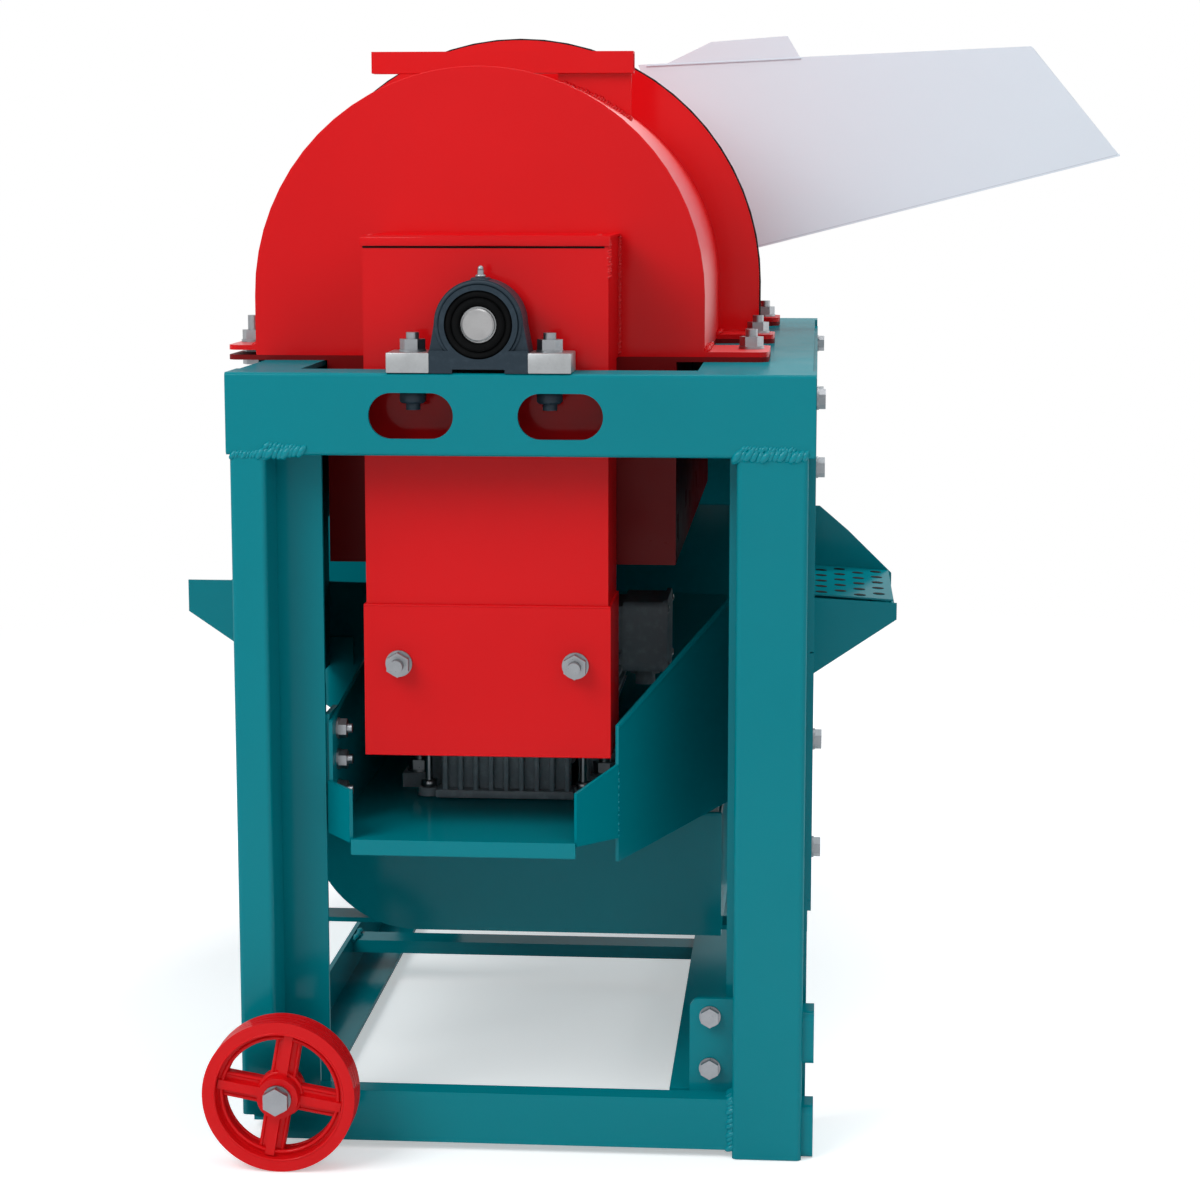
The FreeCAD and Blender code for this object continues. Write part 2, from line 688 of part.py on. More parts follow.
def pillow_block():
    """Cast pillow block housing with its round seat and two bolt holes."""
    body = bearing_outline(BEARING_RADIUS, BEARING_BASE / 2).extrude(V(0, BEARING_DEPTH, 0))
    recess = ring(BEARING_RADIUS + 40.0, BEARING_RADIUS - 4.0, V(AXIS_X, 0, AXIS_Z), ALONG_Y, 3.0)
    keep = box((AXIS_X - BEARING_RADIUS - 6.0, AXIS_X + BEARING_RADIUS + 6.0), (0, 3.0),
               (FRAME_TOP + BEARING_FOOT + 2.0, AXIS_Z + 2 * BEARING_RADIUS))
    body = body.cut(recess.common(keep))
    body = body.cut(rod(BEARING_BORE, V(AXIS_X, 0, AXIS_Z), ALONG_Y, BEARING_DEPTH))
    arch_gap = box((AXIS_X - 20.0, AXIS_X + 20.0), (0, BEARING_DEPTH), (FRAME_TOP, FRAME_TOP + 3.0))
    body = body.cut(arch_gap)
    for side in (-1, 1):
        spot = V(AXIS_X + side * BEARING_BOLTS / 2, BEARING_Y, FRAME_TOP)
        body = body.cut(rod(M10 + HOLE_FIT, spot, ALONG_Z, BEARING_FOOT))
    return body


def bearing_insert():
    """Ball bearing insert: outer ring, shields and inner ring in one closed form."""
    axis = AXIS_Z
    near = BEARING_Y - INSERT_WIDTH / 2
    outer = rod(BEARING_BORE, V(AXIS_X, 4.0, axis), ALONG_Y, BEARING_DEPTH - 8.0)
    collar = rod(SHAFT_RADIUS + 5.5, V(AXIS_X, near, axis), ALONG_Y, INSERT_WIDTH)
    bore = rod(SHAFT_RADIUS + RUNNING_FIT, V(AXIS_X, near, axis), ALONG_Y, INSERT_WIDTH)
    return fused([outer, collar]).cut(bore)


def bearing_bolts():
    """Bolts up through the beam, with washers and nuts on the pillow block feet."""
    parts = []
    for side in (-1, 1):
        x = AXIS_X + side * BEARING_BOLTS / 2
        head = V(x, BEARING_Y, FRAME_TOP - BEAM_WALL)
        top = V(x, BEARING_Y, FRAME_TOP + BEARING_FOOT)
        parts.append(bolt(M10, head, ALONG_Z, BEAM_WALL + BEARING_FOOT + 3.0 * M10))
        parts.append(nut(M10, top, ALONG_Z))
    return parts


def drum_body():
    """Drum tube with end discs and rows of pegs set on a slow spiral."""
    near = HOOD_FRONT + DRUM_END_GAP
    far = HOOD_REAR - DRUM_END_GAP
    centre = V(AXIS_X, near, AXIS_Z)
    tube = ring(DRUM_RADIUS, DRUM_RADIUS - DRUM_WALL, centre, ALONG_Y, far - near)
    shapes = [tube]
    for y in (near, far - DRUM_WALL):
        shapes.append(ring(DRUM_RADIUS, SHAFT_RADIUS, V(AXIS_X, y, AXIS_Z), ALONG_Y, DRUM_WALL))
    pitch = (far - near) / PEGS_PER_ROW
    for row in range(PEG_ROWS):
        for place in range(PEGS_PER_ROW):
            turn = math.radians(360.0 * row / PEG_ROWS + 4.0 * place)
            out = V(math.cos(turn), 0, math.sin(turn))
            y = near + pitch * (place + (0.25 if row % 2 else 0.75))
            root = V(AXIS_X, y, AXIS_Z).add(V(out).multiply(DRUM_RADIUS - PEG_SINK))
            shapes.append(rod(PEG_RADIUS, root, out, PEG_REACH + PEG_SINK))
    return fused(shapes)


def drum_shaft():
    """Drum shaft through both bearings, with a small lead at each end."""
    start = -SHAFT_PROUD
    length = FRAME_DEPTH + 2 * SHAFT_PROUD
    shaft = rod(SHAFT_RADIUS, V(AXIS_X, start, AXIS_Z), ALONG_Y, length)
    ends = []
    for edge in shaft.Edges:
        if isinstance(edge.Curve, Part.Circle):
            ends.append(edge)
    return shaft.makeChamfer(1.2, ends)


def pulley(radius, front, width, grooves, centre_x, centre_z, bore, dish):
    """A V-groove pulley by revolving its half section about the shaft."""
    half_top = GROOVE_TOP_WIDTH / 2
    half_low = GROOVE_BOTTOM_WIDTH / 2
    middle = front + width / 2
    points = [(bore, front), (radius, front)]
    for count in range(grooves):
        y = middle + (count - (grooves - 1) / 2) * GROOVE_PITCH
        points += [(radius, y - half_top), (radius - GROOVE_DEPTH, y - half_low),
                   (radius - GROOVE_DEPTH, y + half_low), (radius, y + half_top)]
    points += [(radius, front + width), (bore, front + width)]
    section = face_of([V(centre_x + r, y, centre_z) for r, y in points])
    wheel = section.revolve(V(centre_x, 0, centre_z), ALONG_Y, 360)
    if dish > 0:
        rim = radius - GROOVE_DEPTH - 6.0
        for y in (front, front + width - dish):
            wheel = wheel.cut(ring(rim, bore + 9.0, V(centre_x, y, centre_z), ALONG_Y, dish))
    return wheel


def belt(y, low_x, low_z, low_radius, high_radius):
    """A V-belt loop round a lower pulley and the drum pulley above it."""
    low = V(low_x, y, low_z)
    high = V(AXIS_X, y, AXIS_Z)
    line = high.sub(low)
    spread = line.Length
    up = V(line).normalize()
    side = V(up.z, 0, -up.x)
    outer = (low_radius + BELT_CROWN, high_radius + BELT_CROWN)
    lean = math.asin((outer[1] - outer[0]) / spread)
    normals = []
    for sign in (-1, 1):
        normals.append(V(side).multiply(sign * math.cos(lean)).sub(V(up).multiply(math.sin(lean))))

    def loop(depth, half_width, offset):
        """The closed loop at one depth of the belt, as a wire at one Y."""
        radii = (outer[0] - depth, outer[1] - depth)
        shift = V(0, offset * half_width, 0)
        first = low.add(V(normals[0]).multiply(radii[0])).add(shift)
        last = low.add(V(normals[1]).multiply(radii[0])).add(shift)
        top_first = high.add(V(normals[0]).multiply(radii[1])).add(shift)
        top_last = high.add(V(normals[1]).multiply(radii[1])).add(shift)
        bottom = low.sub(V(up).multiply(radii[0])).add(shift)
        top = high.add(V(up).multiply(radii[1])).add(shift)
        edges = [Part.Arc(first, bottom, last).toShape(),
                 Part.LineSegment(last, top_last).toShape(),
                 Part.Arc(top_last, top, top_first).toShape(),
                 Part.LineSegment(top_first, first).toShape()]
        return Part.Wire(edges)

    rings = []
    corners = ((0.0, BELT_TOP_WIDTH / 2, -1), (0.0, BELT_TOP_WIDTH / 2, 1),
               (BELT_DEPTH, BELT_BOTTOM_WIDTH / 2, 1), (BELT_DEPTH, BELT_BOTTOM_WIDTH / 2, -1))
    for depth, half_width, offset in corners:
        rings.append(loop(depth, half_width, offset))
    faces = []
    for count in range(4):
        faces += Part.makeRuledSurface(rings[count], rings[(count + 1) % 4]).Faces
    solid = Part.Solid(Part.Shell(faces))
    if solid.Volume < 0:
        solid.reverse()
    return solid


def rod_grate():
    """Concave: rods along the drum, held by three half-round ribs and two side bars."""
    near = HOOD_FRONT + 6.0
    far = HOOD_REAR - 6.0
    shapes = []
    inner = CONCAVE_RADIUS
    outer = CONCAVE_RADIUS + CONCAVE_RIB_DEPTH
    below = box((AXIS_X - outer, AXIS_X + outer), (near, far), (AXIS_Z - outer, AXIS_Z - 46.0))
    for y in (near, (near + far - CONCAVE_RIB_WIDTH) / 2, far - CONCAVE_RIB_WIDTH):
        shapes.append(ring(outer - 2.5, inner, V(AXIS_X, y, AXIS_Z), ALONG_Y, CONCAVE_RIB_WIDTH).common(below))
    for count in range(CONCAVE_RODS):
        turn = math.radians(205.0 + 130.0 * count / (CONCAVE_RODS - 1))
        x = AXIS_X + (inner + 1.5) * math.cos(turn)
        z = AXIS_Z + (inner + 1.5) * math.sin(turn)
        shapes.append(rod(CONCAVE_ROD, V(x, near, z), ALONG_Y, far - near))
    clear = ring(outer + 60.0, outer - 2.5, V(AXIS_X, near, AXIS_Z), ALONG_Y, far - near)
    grate = fused(shapes).cut(clear)
    grate = grate.cut(rod(inner - 2.0, V(AXIS_X, near, AXIS_Z), ALONG_Y, far - near))
    arms = []
    for side in (-1, 1):
        x = sorted((AXIS_X + side * (TUB_HALF - TUB_WALL), AXIS_X + side * (TUB_HALF - TUB_WALL - 14.0)))
        arms.append(box(x, (near, far), (AXIS_Z - 62.0, AXIS_Z - 50.0)))
    return fused([grate] + arms)


def build_drum():
    """The drum with its shaft, bearings, grate and pulleys."""
    block = pillow_block()
    insert = bearing_insert()
    bolts = bearing_bolts()
    pieces["front_bearing_housing"] = [block]
    pieces["rear_bearing_housing"] = [to_rear(block)]
    pieces["bearing_inserts"] = [insert, to_rear(insert)]
    pieces["bearing_bolts"] = bolts + [to_rear(item) for item in bolts]
    pieces["drum_shaft"] = [drum_shaft()]
    pieces["threshing_drum"] = [drum_body()]
    pieces["concave_grate"] = [rod_grate()]
    pieces["drum_pulley"] = [pulley(DRUM_PULLEY_RADIUS, PULLEY_FRONT, PULLEY_WIDTH, GROOVES,
                                    AXIS_X, AXIS_Z, SHAFT_RADIUS, 10.0)]


# Hood, tub and hopper
def arch_face(radius, y, base):
    """Face of the hood's outline: a half circle on two straight sides down to base."""
    left = V(HOOD_X - radius, y, HOOD_Z)
    right = V(HOOD_X + radius, y, HOOD_Z)
    low_right = V(HOOD_X + radius, y, base)
    low_left = V(HOOD_X - radius, y, base)
    edges = [Part.Arc(left, V(HOOD_X, y, HOOD_Z + radius), right).toShape(),
             Part.LineSegment(right, low_right).toShape(),
             Part.LineSegment(low_right, low_left).toShape(),
             Part.LineSegment(low_left, left).toShape()]
    return Part.Face(Part.Wire(edges))


def arch(radius, near, far):
    """Solid of the hood's outline between two depths."""
    return arch_face(radius, near, HOOD_BASE).extrude(V(0, far - near, 0))


def ear(side, near, far, low):
    """One ear of the hood or the tub with its bolt hole, rounded outside corners."""
    edge = HOOD_X + side * HOOD_RADIUS
    reach, bolt_out = (RIGHT_EAR, RIGHT_BOLT_OUT) if side > 0 else (LEFT_EAR, LEFT_BOLT_OUT)
    x = sorted((edge, edge + side * reach))
    plate = box(x, (near, far), (low, low + EAR_WALL))
    corners = []
    for line in upright_edges(plate, ALONG_Z):
        if abs(line.CenterOfMass.x - edge) > reach / 2:
            corners.append(line)
    plate = plate.makeFillet(9.0, corners)
    spot = V(edge + side * bolt_out, (near + far) / 2, low)
    return plate.cut(rod(M10 + HOLE_FIT, spot, ALONG_Z, EAR_WALL))


def hood_shell(near, far, closed_end, ears):
    """A length of hood: rolled sheet, one closed end, ring flange at the joint and ears."""
    shell = arch(HOOD_RADIUS, near, far).cut(arch(HOOD_RADIUS - HOOD_WALL, near, far))
    end = arch(HOOD_RADIUS, closed_end, closed_end + HOOD_WALL)
    end = end.cut(rod(SHAFT_RADIUS + 18.0, V(AXIS_X, closed_end, AXIS_Z), ALONG_Y, HOOD_WALL))
    if near == HOOD_FRONT:
        joint = far - RING_WALL
    else:
        joint = near
    flange = arch(HOOD_RADIUS + RING_HEIGHT, joint, joint + RING_WALL)
    flange = flange.cut(arch(HOOD_RADIUS - HOOD_WALL, joint, joint + RING_WALL))
    shapes = [shell, end, flange]
    for ear_near, ear_far in ears:
        shapes.append(ear(-1, ear_near, ear_far, HOOD_BASE + LEFT_EAR_LIFT))
        shapes.append(ear(1, ear_near, ear_far, HOOD_BASE))
    return fused(shapes)


def hopper_opening():
    """Space cut out of the rear hood where the hopper lets the cobs in."""
    low = HOPPER_MOUTH_Z - HOPPER_SLOPE * (HOPPER_MOUTH_X - HOOD_RIGHT) + HOPPER_WALL
    corners = [(HOPPER_ROOT_TOP_X + 10.0, HOPPER_ROOT_TOP_Z), (HOOD_RIGHT + 20.0, HOPPER_ROOT_TOP_Z),
               (HOOD_RIGHT + 20.0, low), (HOPPER_ROOT_TOP_X + 60.0, low)]
    return plate_xz(corners, HOPPER_NEAR + HOPPER_WALL, HOPPER_FAR - HOPPER_NEAR - 2 * HOPPER_WALL)


def hopper_floor_z(x):
    """Height of the hopper floor's underside at one X."""
    return HOPPER_MOUTH_Z - HOPPER_SLOPE * (HOPPER_MOUTH_X - x)


def hopper():
    """White feed hopper: two side walls and a sloping floor, open to the right and on top."""
    side = [(HOPPER_ROOT_X, hopper_floor_z(HOPPER_ROOT_X)), (HOPPER_MOUTH_X, HOPPER_MOUTH_Z),
            (HOPPER_TOP_X, HOPPER_TOP_Z), (HOPPER_ROOT_TOP_X, HOPPER_ROOT_TOP_Z)]
    walls = []
    for y in (HOPPER_NEAR, HOPPER_FAR - HOPPER_WALL):
        walls.append(plate_xz(side, y, HOPPER_WALL))
    floor = [(HOPPER_ROOT_X, hopper_floor_z(HOPPER_ROOT_X)), (HOPPER_MOUTH_X, HOPPER_MOUTH_Z),
             (HOPPER_MOUTH_X, HOPPER_MOUTH_Z + HOPPER_WALL),
             (HOPPER_ROOT_X, hopper_floor_z(HOPPER_ROOT_X) + HOPPER_WALL)]
    walls.append(plate_xz(floor, HOPPER_NEAR, HOPPER_FAR - HOPPER_NEAR))
    low = hopper_floor_z(HOPPER_ROOT_X)
    back = [(HOPPER_ROOT_X, low), (HOPPER_ROOT_X + HOPPER_WALL, low),
            (HOPPER_ROOT_TOP_X + HOPPER_WALL, HOPPER_ROOT_TOP_Z), (HOPPER_ROOT_TOP_X, HOPPER_ROOT_TOP_Z)]
    walls.append(plate_xz(back, HOPPER_NEAR, HOPPER_FAR - HOPPER_NEAR))
    whole = fused(walls)
    return whole.cut(arch(HOOD_RADIUS, HOPPER_NEAR, HOPPER_FAR))


def hopper_cover():
    """Folded cover over the root of the hopper, lying on its two walls."""
    slope = (HOPPER_TOP_Z - HOPPER_ROOT_TOP_Z) / (HOPPER_TOP_X - HOPPER_ROOT_TOP_X)

    def rim(x):
        """Height of the hopper's rim at one X."""
        return HOPPER_ROOT_TOP_Z + slope * (x - HOPPER_ROOT_TOP_X)

    outline = [(FLAP_LEFT, rim(FLAP_LEFT)), (FLAP_LEFT + 42.0, rim(FLAP_LEFT) + FLAP_RISE),
               (FLAP_RIGHT - 12.0, rim(FLAP_RIGHT) + FLAP_RISE), (FLAP_RIGHT, rim(FLAP_RIGHT))]
    solid = plate_xz(outline, HOPPER_NEAR, HOPPER_FAR - HOPPER_NEAR)
    inside = [(FLAP_LEFT + 5.0, rim(FLAP_LEFT + 5.0) - 1.0),
              (FLAP_LEFT + 43.0, rim(FLAP_LEFT) + FLAP_RISE - HOPPER_WALL),
              (FLAP_RIGHT - 14.0, rim(FLAP_RIGHT) + FLAP_RISE - HOPPER_WALL),
              (FLAP_RIGHT - 3.0, rim(FLAP_RIGHT - 3.0) - 1.0)]
    hollow = plate_xz(inside, HOPPER_NEAR + HOPPER_WALL, HOPPER_FAR - HOPPER_NEAR - 2 * HOPPER_WALL)
    return solid.cut(hollow)


def lift_bar():
    """Square bar across the top of the hood with a gusset under its right end."""
    y = (LIFT_BAR_Y - LIFT_BAR_SIZE / 2, LIFT_BAR_Y + LIFT_BAR_SIZE / 2)
    low = HOOD_Z + HOOD_RADIUS
    bar = box((LIFT_BAR_LEFT, LIFT_BAR_RIGHT), y, (low, low + LIFT_BAR_SIZE))
    bore = box((LIFT_BAR_LEFT, LIFT_BAR_RIGHT), (y[0] + 2.0, y[1] - 2.0),
               (low + 2.0, low + LIFT_BAR_SIZE - 2.0))
    bar = bar.cut(bore)
    gusset = plate_xz([(LIFT_BAR_RIGHT - 64.0, low), (LIFT_BAR_RIGHT - 2.0, low),
                       (LIFT_BAR_RIGHT - 2.0, low - 40.0), (LIFT_BAR_RIGHT - 64.0, low - 40.0)],
                      LIFT_BAR_Y - 2.0, 4.0)
    gusset = gusset.cut(arch(HOOD_RADIUS, HOOD_FRONT, HOOD_JOINT))
    return fused([bar, gusset])


def tub():
    """Red tub under the hood: two walls, two ends, shelves on the rails and ears."""
    left = AXIS_X - TUB_HALF
    right = AXIS_X + TUB_HALF
    wall_z = (TUB_BOTTOM, HOOD_BASE)
    shapes = [box((left, left + TUB_WALL), (HOOD_FRONT, HOOD_REAR), wall_z),
              box((right - TUB_WALL, right), (HOOD_FRONT, HOOD_REAR), wall_z)]
    for y in (HOOD_FRONT, HOOD_REAR - TUB_WALL):
        end = box((left, right), (y, y + TUB_WALL), wall_z)
        end = end.cut(rod(SHAFT_RADIUS + 18.0, V(AXIS_X, y, AXIS_Z), ALONG_Y, TUB_WALL))
        shapes.append(end)
    for wall_y, lip_y in ((HOOD_FRONT, PAN_NEAR + SLIDE_LAP), (HOOD_REAR, PAN_FAR - SLIDE_LAP)):
        slide = [(wall_y, SLIDE_TOP), (lip_y, TUB_BOTTOM), (lip_y, TUB_BOTTOM + TUB_WALL),
                 (wall_y, SLIDE_TOP + TUB_WALL)]
        shapes.append(plate_yz(slide, left, right - left))
    shelf_z = (FRAME_TOP, HOOD_BASE)
    shapes.append(box((HOOD_LEFT, left + TUB_WALL), (HOOD_FRONT, HOOD_REAR), shelf_z))
    shapes.append(box((right - TUB_WALL, HOOD_RIGHT), (HOOD_FRONT, HOOD_REAR), shelf_z))
    for near, far in EARS:
        shapes.append(ear(-1, near, far, FRAME_TOP))
        shapes.append(ear(1, near, far, FRAME_TOP))
    return fused(shapes)


def hood_bolts():
    """Bolts through the ears of hood and tub; spacer nuts on the raised left side."""
    parts = []
    for near, far in EARS:
        y = (near + far) / 2
        stack = EAR_WALL + LEFT_EAR_LIFT + EAR_WALL
        parts.append(bolt(M10, V(EAR_BOLTS_LEFT, y, FRAME_TOP), ALONG_Z, stack + 4.4 * M10))
        parts.append(nut(M10, V(EAR_BOLTS_LEFT, y, FRAME_TOP + stack), ALONG_Z))
        spacer = hexagon(3.4 * M10, V(EAR_BOLTS_LEFT, y, HOOD_BASE), ALONG_Z, LEFT_EAR_LIFT)
        parts.append(spacer.cut(rod(M10 + NUT_FIT, V(EAR_BOLTS_LEFT, y, HOOD_BASE), ALONG_Z, LEFT_EAR_LIFT)))
        under = V(EAR_BOLTS_RIGHT, y, FRAME_TOP - ANGLE_WALL)
        stack = ANGLE_WALL + EAR_WALL + EAR_WALL
        parts.append(bolt(M10, under, ALONG_Z, stack + 3.2 * M10))
        parts.append(nut(M10, V(EAR_BOLTS_RIGHT, y, HOOD_BASE + EAR_WALL), ALONG_Z))
    return parts


def build_hood():
    """Hood, tub and hopper."""
    front_ears = (FRONT_EAR, JOINT_EAR)
    pieces["front_hood"] = [hood_shell(HOOD_FRONT, HOOD_JOINT, HOOD_FRONT, front_ears)]
    rear = hood_shell(HOOD_JOINT, HOOD_REAR, HOOD_REAR - HOOD_WALL, (REAR_EAR,))
    pieces["rear_hood"] = [rear.cut(hopper_opening())]
    pieces["feed_hopper"] = [hopper()]
    pieces["hopper_cover"] = [hopper_cover()]
    pieces["lift_bar"] = [lift_bar()]
    pieces["drum_tub"] = [tub()]
    pieces["hood_bolts"] = hood_bolts()


# Belt guard
def guard_half(extra):
    """Left and right faces of the guard, standing out by extra."""
    return (AXIS_X - GUARD_WIDTH / 2 - extra, AXIS_X + GUARD_WIDTH / 2 + extra)


def folded_cover(x, front, rear, z, wall):
    """A sheet folded in a U: front and two sides."""
    outer = box(x, (front, rear), z)
    inner = box((x[0] + wall, x[1] - wall), (front + wall, rear), z)
    return outer.cut(inner)


def build_guard():
    """Guard over the belt: a box on the hood, the long cover and the sleeve below it."""
    x = guard_half(0.0)
    cover = folded_cover(x, GUARD_FRONT, GUARD_REAR, (GUARD_BOTTOM, HOOD_BASE), GUARD_WALL)
    sleeve = folded_cover(guard_half(GUARD_WALL), GUARD_FRONT - GUARD_WALL, GUARD_REAR,
                          (SLEEVE_BOTTOM, SLEEVE_TOP), GUARD_WALL)
    box_cover = folded_cover(x, GUARD_FRONT, HOOD_FRONT, (HOOD_BASE, BOX_TOP), GUARD_WALL)
    box_cover = box_cover.cut(rod(SHAFT_RADIUS + 6.0, V(AXIS_X, GUARD_FRONT, AXIS_Z), ALONG_Y, GUARD_WALL))
    lid = box((x[0] - 1.5, x[1] + 1.5), (GUARD_FRONT - 1.5, HOOD_FRONT), (BOX_TOP, BOX_TOP + GUARD_WALL))
    back = box((x[0] + GUARD_WALL, x[1] - GUARD_WALL), (GUARD_REAR - GUARD_WALL, GUARD_REAR),
               (GUARD_BOTTOM, HOOD_BASE))
    for centre_z, radius in ((AXIS_Z, 40.0), (MOTOR_Z, 30.0)):
        back = back.cut(rod(radius, V(AXIS_X, GUARD_REAR - GUARD_WALL, centre_z), ALONG_Y, GUARD_WALL))
    studs = []
    start = GUARD_FRONT - GUARD_WALL
    for side in (-1, 1):
        spot = V(AXIS_X + side * GUARD_STUDS / 2, start, GUARD_STUD_Z)
        hole = rod(M10 + HOLE_FIT, spot, ALONG_Y, GUARD_REAR)
        cover = cover.cut(hole)
        sleeve = sleeve.cut(hole)
        tip = spot.sub(V(0, 3.6 * M10, 0))
        rear_face = GUARD_REAR - GUARD_WALL
        studs.append(rod(M10, tip, ALONG_Y, rear_face - tip.y))
        studs.append(nut(M10, spot, V(0, -1, 0)))
    pieces["guard_box"] = [fused([box_cover, lid])]
    pieces["belt_guard"] = [cover]
    pieces["guard_sleeve"] = [sleeve]
    pieces["guard_back"] = [back]
    pieces["guard_studs"] = studs


# Motor
def motor_frame():
    """Finned stator frame with its two feet."""
    near = MOTOR_FRONT + MOTOR_BELL
    centre = V(AXIS_X, near, MOTOR_Z)
    core = rod(MOTOR_CORE, centre, ALONG_Y, MOTOR_LENGTH)
    fins = []
    y = (near + 4.0, near + MOTOR_LENGTH - 4.0)
    half = MOTOR_FIN_WALL / 2
    reach = MOTOR_FIN_RADIUS
    for count in range(MOTOR_FINS):
        offset = (count - (MOTOR_FINS - 1) / 2) * MOTOR_FIN_PITCH
        fins.append(box((AXIS_X + offset - half, AXIS_X + offset + half), y, (MOTOR_Z - reach, MOTOR_Z + reach)))
        if abs(offset) < 3.6 * MOTOR_FIN_PITCH:
            fins.append(box((AXIS_X - reach, AXIS_X + reach), y, (MOTOR_Z + offset - half, MOTOR_Z + offset + half)))
    limit = rod(reach, V(AXIS_X, y[0], MOTOR_Z), ALONG_Y, y[1] - y[0])
    body = fused([core] + [fin.common(limit) for fin in fins])
    foot_low = MOTOR_Z - MOTOR_SHAFT_HEIGHT
    middle = near + MOTOR_LENGTH / 2
    foot_y = (middle - MOTOR_FOOT_LENGTH / 2, middle + MOTOR_FOOT_LENGTH / 2)
    shapes = [body]
    for side in (-1, 1):
        inner = AXIS_X + side * (MOTOR_FOOT_BOLTS / 2 - MOTOR_FOOT_WIDTH / 2)
        outer = AXIS_X + side * (MOTOR_FOOT_BOLTS / 2 + MOTOR_FOOT_WIDTH / 2)
        shapes.append(box(sorted((inner, outer)), foot_y, (foot_low, foot_low + MOTOR_FOOT_WALL)))
        web = box(sorted((inner, inner + side * 10.0)), foot_y, (foot_low, MOTOR_Z - 24.0))
        shapes.append(web)
    shapes.append(box((AXIS_X + 50.0, AXIS_X + MOTOR_FIN_RADIUS), (near + 44.0, near + 116.0),
                      (MOTOR_Z, MOTOR_Z + 52.0)))
    whole = fused(shapes)
    for spot in motor_foot_spots():
        whole = whole.cut(rod(M10 + HOLE_FIT, spot, ALONG_Z, MOTOR_FOOT_WALL))
    return whole


def motor_foot_spots():
    """Bolt places of the motor feet, at the underside of the feet."""
    middle = MOTOR_FRONT + MOTOR_BELL + MOTOR_LENGTH / 2
    low = MOTOR_Z - MOTOR_SHAFT_HEIGHT
    spots = []
    for side in (-1, 1):
        for end in (-1, 1):
            y = middle + end * (MOTOR_FOOT_LENGTH / 2 - 14.0)
            spots.append(V(AXIS_X + side * (MOTOR_FOOT_BOLTS / 2 + 4.0), y, low))
    return spots


def turned(profile):
    """A solid of revolution about the motor axis from (radius, y) points."""
    section = face_of([V(AXIS_X + r, y, MOTOR_Z) for r, y in profile])
    return section.revolve(V(AXIS_X, 0, MOTOR_Z), ALONG_Y, 360)


def front_bell():
    """Drive-side end shield with a raised bearing boss."""
    rear = MOTOR_FRONT + MOTOR_BELL
    bore = MOTOR_SHAFT_RADIUS + RUNNING_FIT
    return turned([(bore, MOTOR_FRONT), (26.0, MOTOR_FRONT), (30.0, MOTOR_FRONT + 9.0),
                   (66.0, MOTOR_FRONT + 14.0), (82.0, MOTOR_FRONT + 20.0), (82.0, rear), (bore, rear)])


def rear_cowl():
    """Fan cowl with a ring of cooling slots in its end."""
    near = MOTOR_FRONT + MOTOR_BELL + MOTOR_LENGTH
    far = near + MOTOR_COWL
    shell = turned([(0.0, near), (84.0, near), (84.0, far - 12.0), (74.0, far), (0.0, far)])
    for count in range(10):
        turn = 36.0 * count
        slot = box((AXIS_X + 26.0, AXIS_X + 62.0), (far - 5.0, far), (MOTOR_Z - 3.0, MOTOR_Z + 3.0))
        slot.rotate(V(AXIS_X, 0, MOTOR_Z), ALONG_Y, turn)
        shell = shell.cut(slot)
    return shell


def terminal_box():
    """Terminal box on the right flank of the motor with its cable gland."""
    x = (AXIS_X + MOTOR_FIN_RADIUS, AXIS_X + MOTOR_FIN_RADIUS + 34.0)
    y = (MOTOR_FRONT + MOTOR_BELL + 40.0, MOTOR_FRONT + MOTOR_BELL + 120.0)
    z = (MOTOR_Z - 4.0, MOTOR_Z + 56.0)
    case = rounded(box(x, y, z), ALONG_X, 6.0)
    lid = rounded(box((x[1], x[1] + 4.0), (y[0] - 2.0, y[1] + 2.0), (z[0] - 2.0, z[1] + 2.0)), ALONG_X, 7.0)
    gland_at = V((x[0] + x[1]) / 2, (y[0] + y[1]) / 2, z[0])
    gland = fused([hexagon(22.0, gland_at, V(0, 0, -1), 7.0),
                   rod(8.5, gland_at.sub(V(0, 0, 7.0)), V(0, 0, -1), 9.0)])
    return [fused([case, lid]), gland]


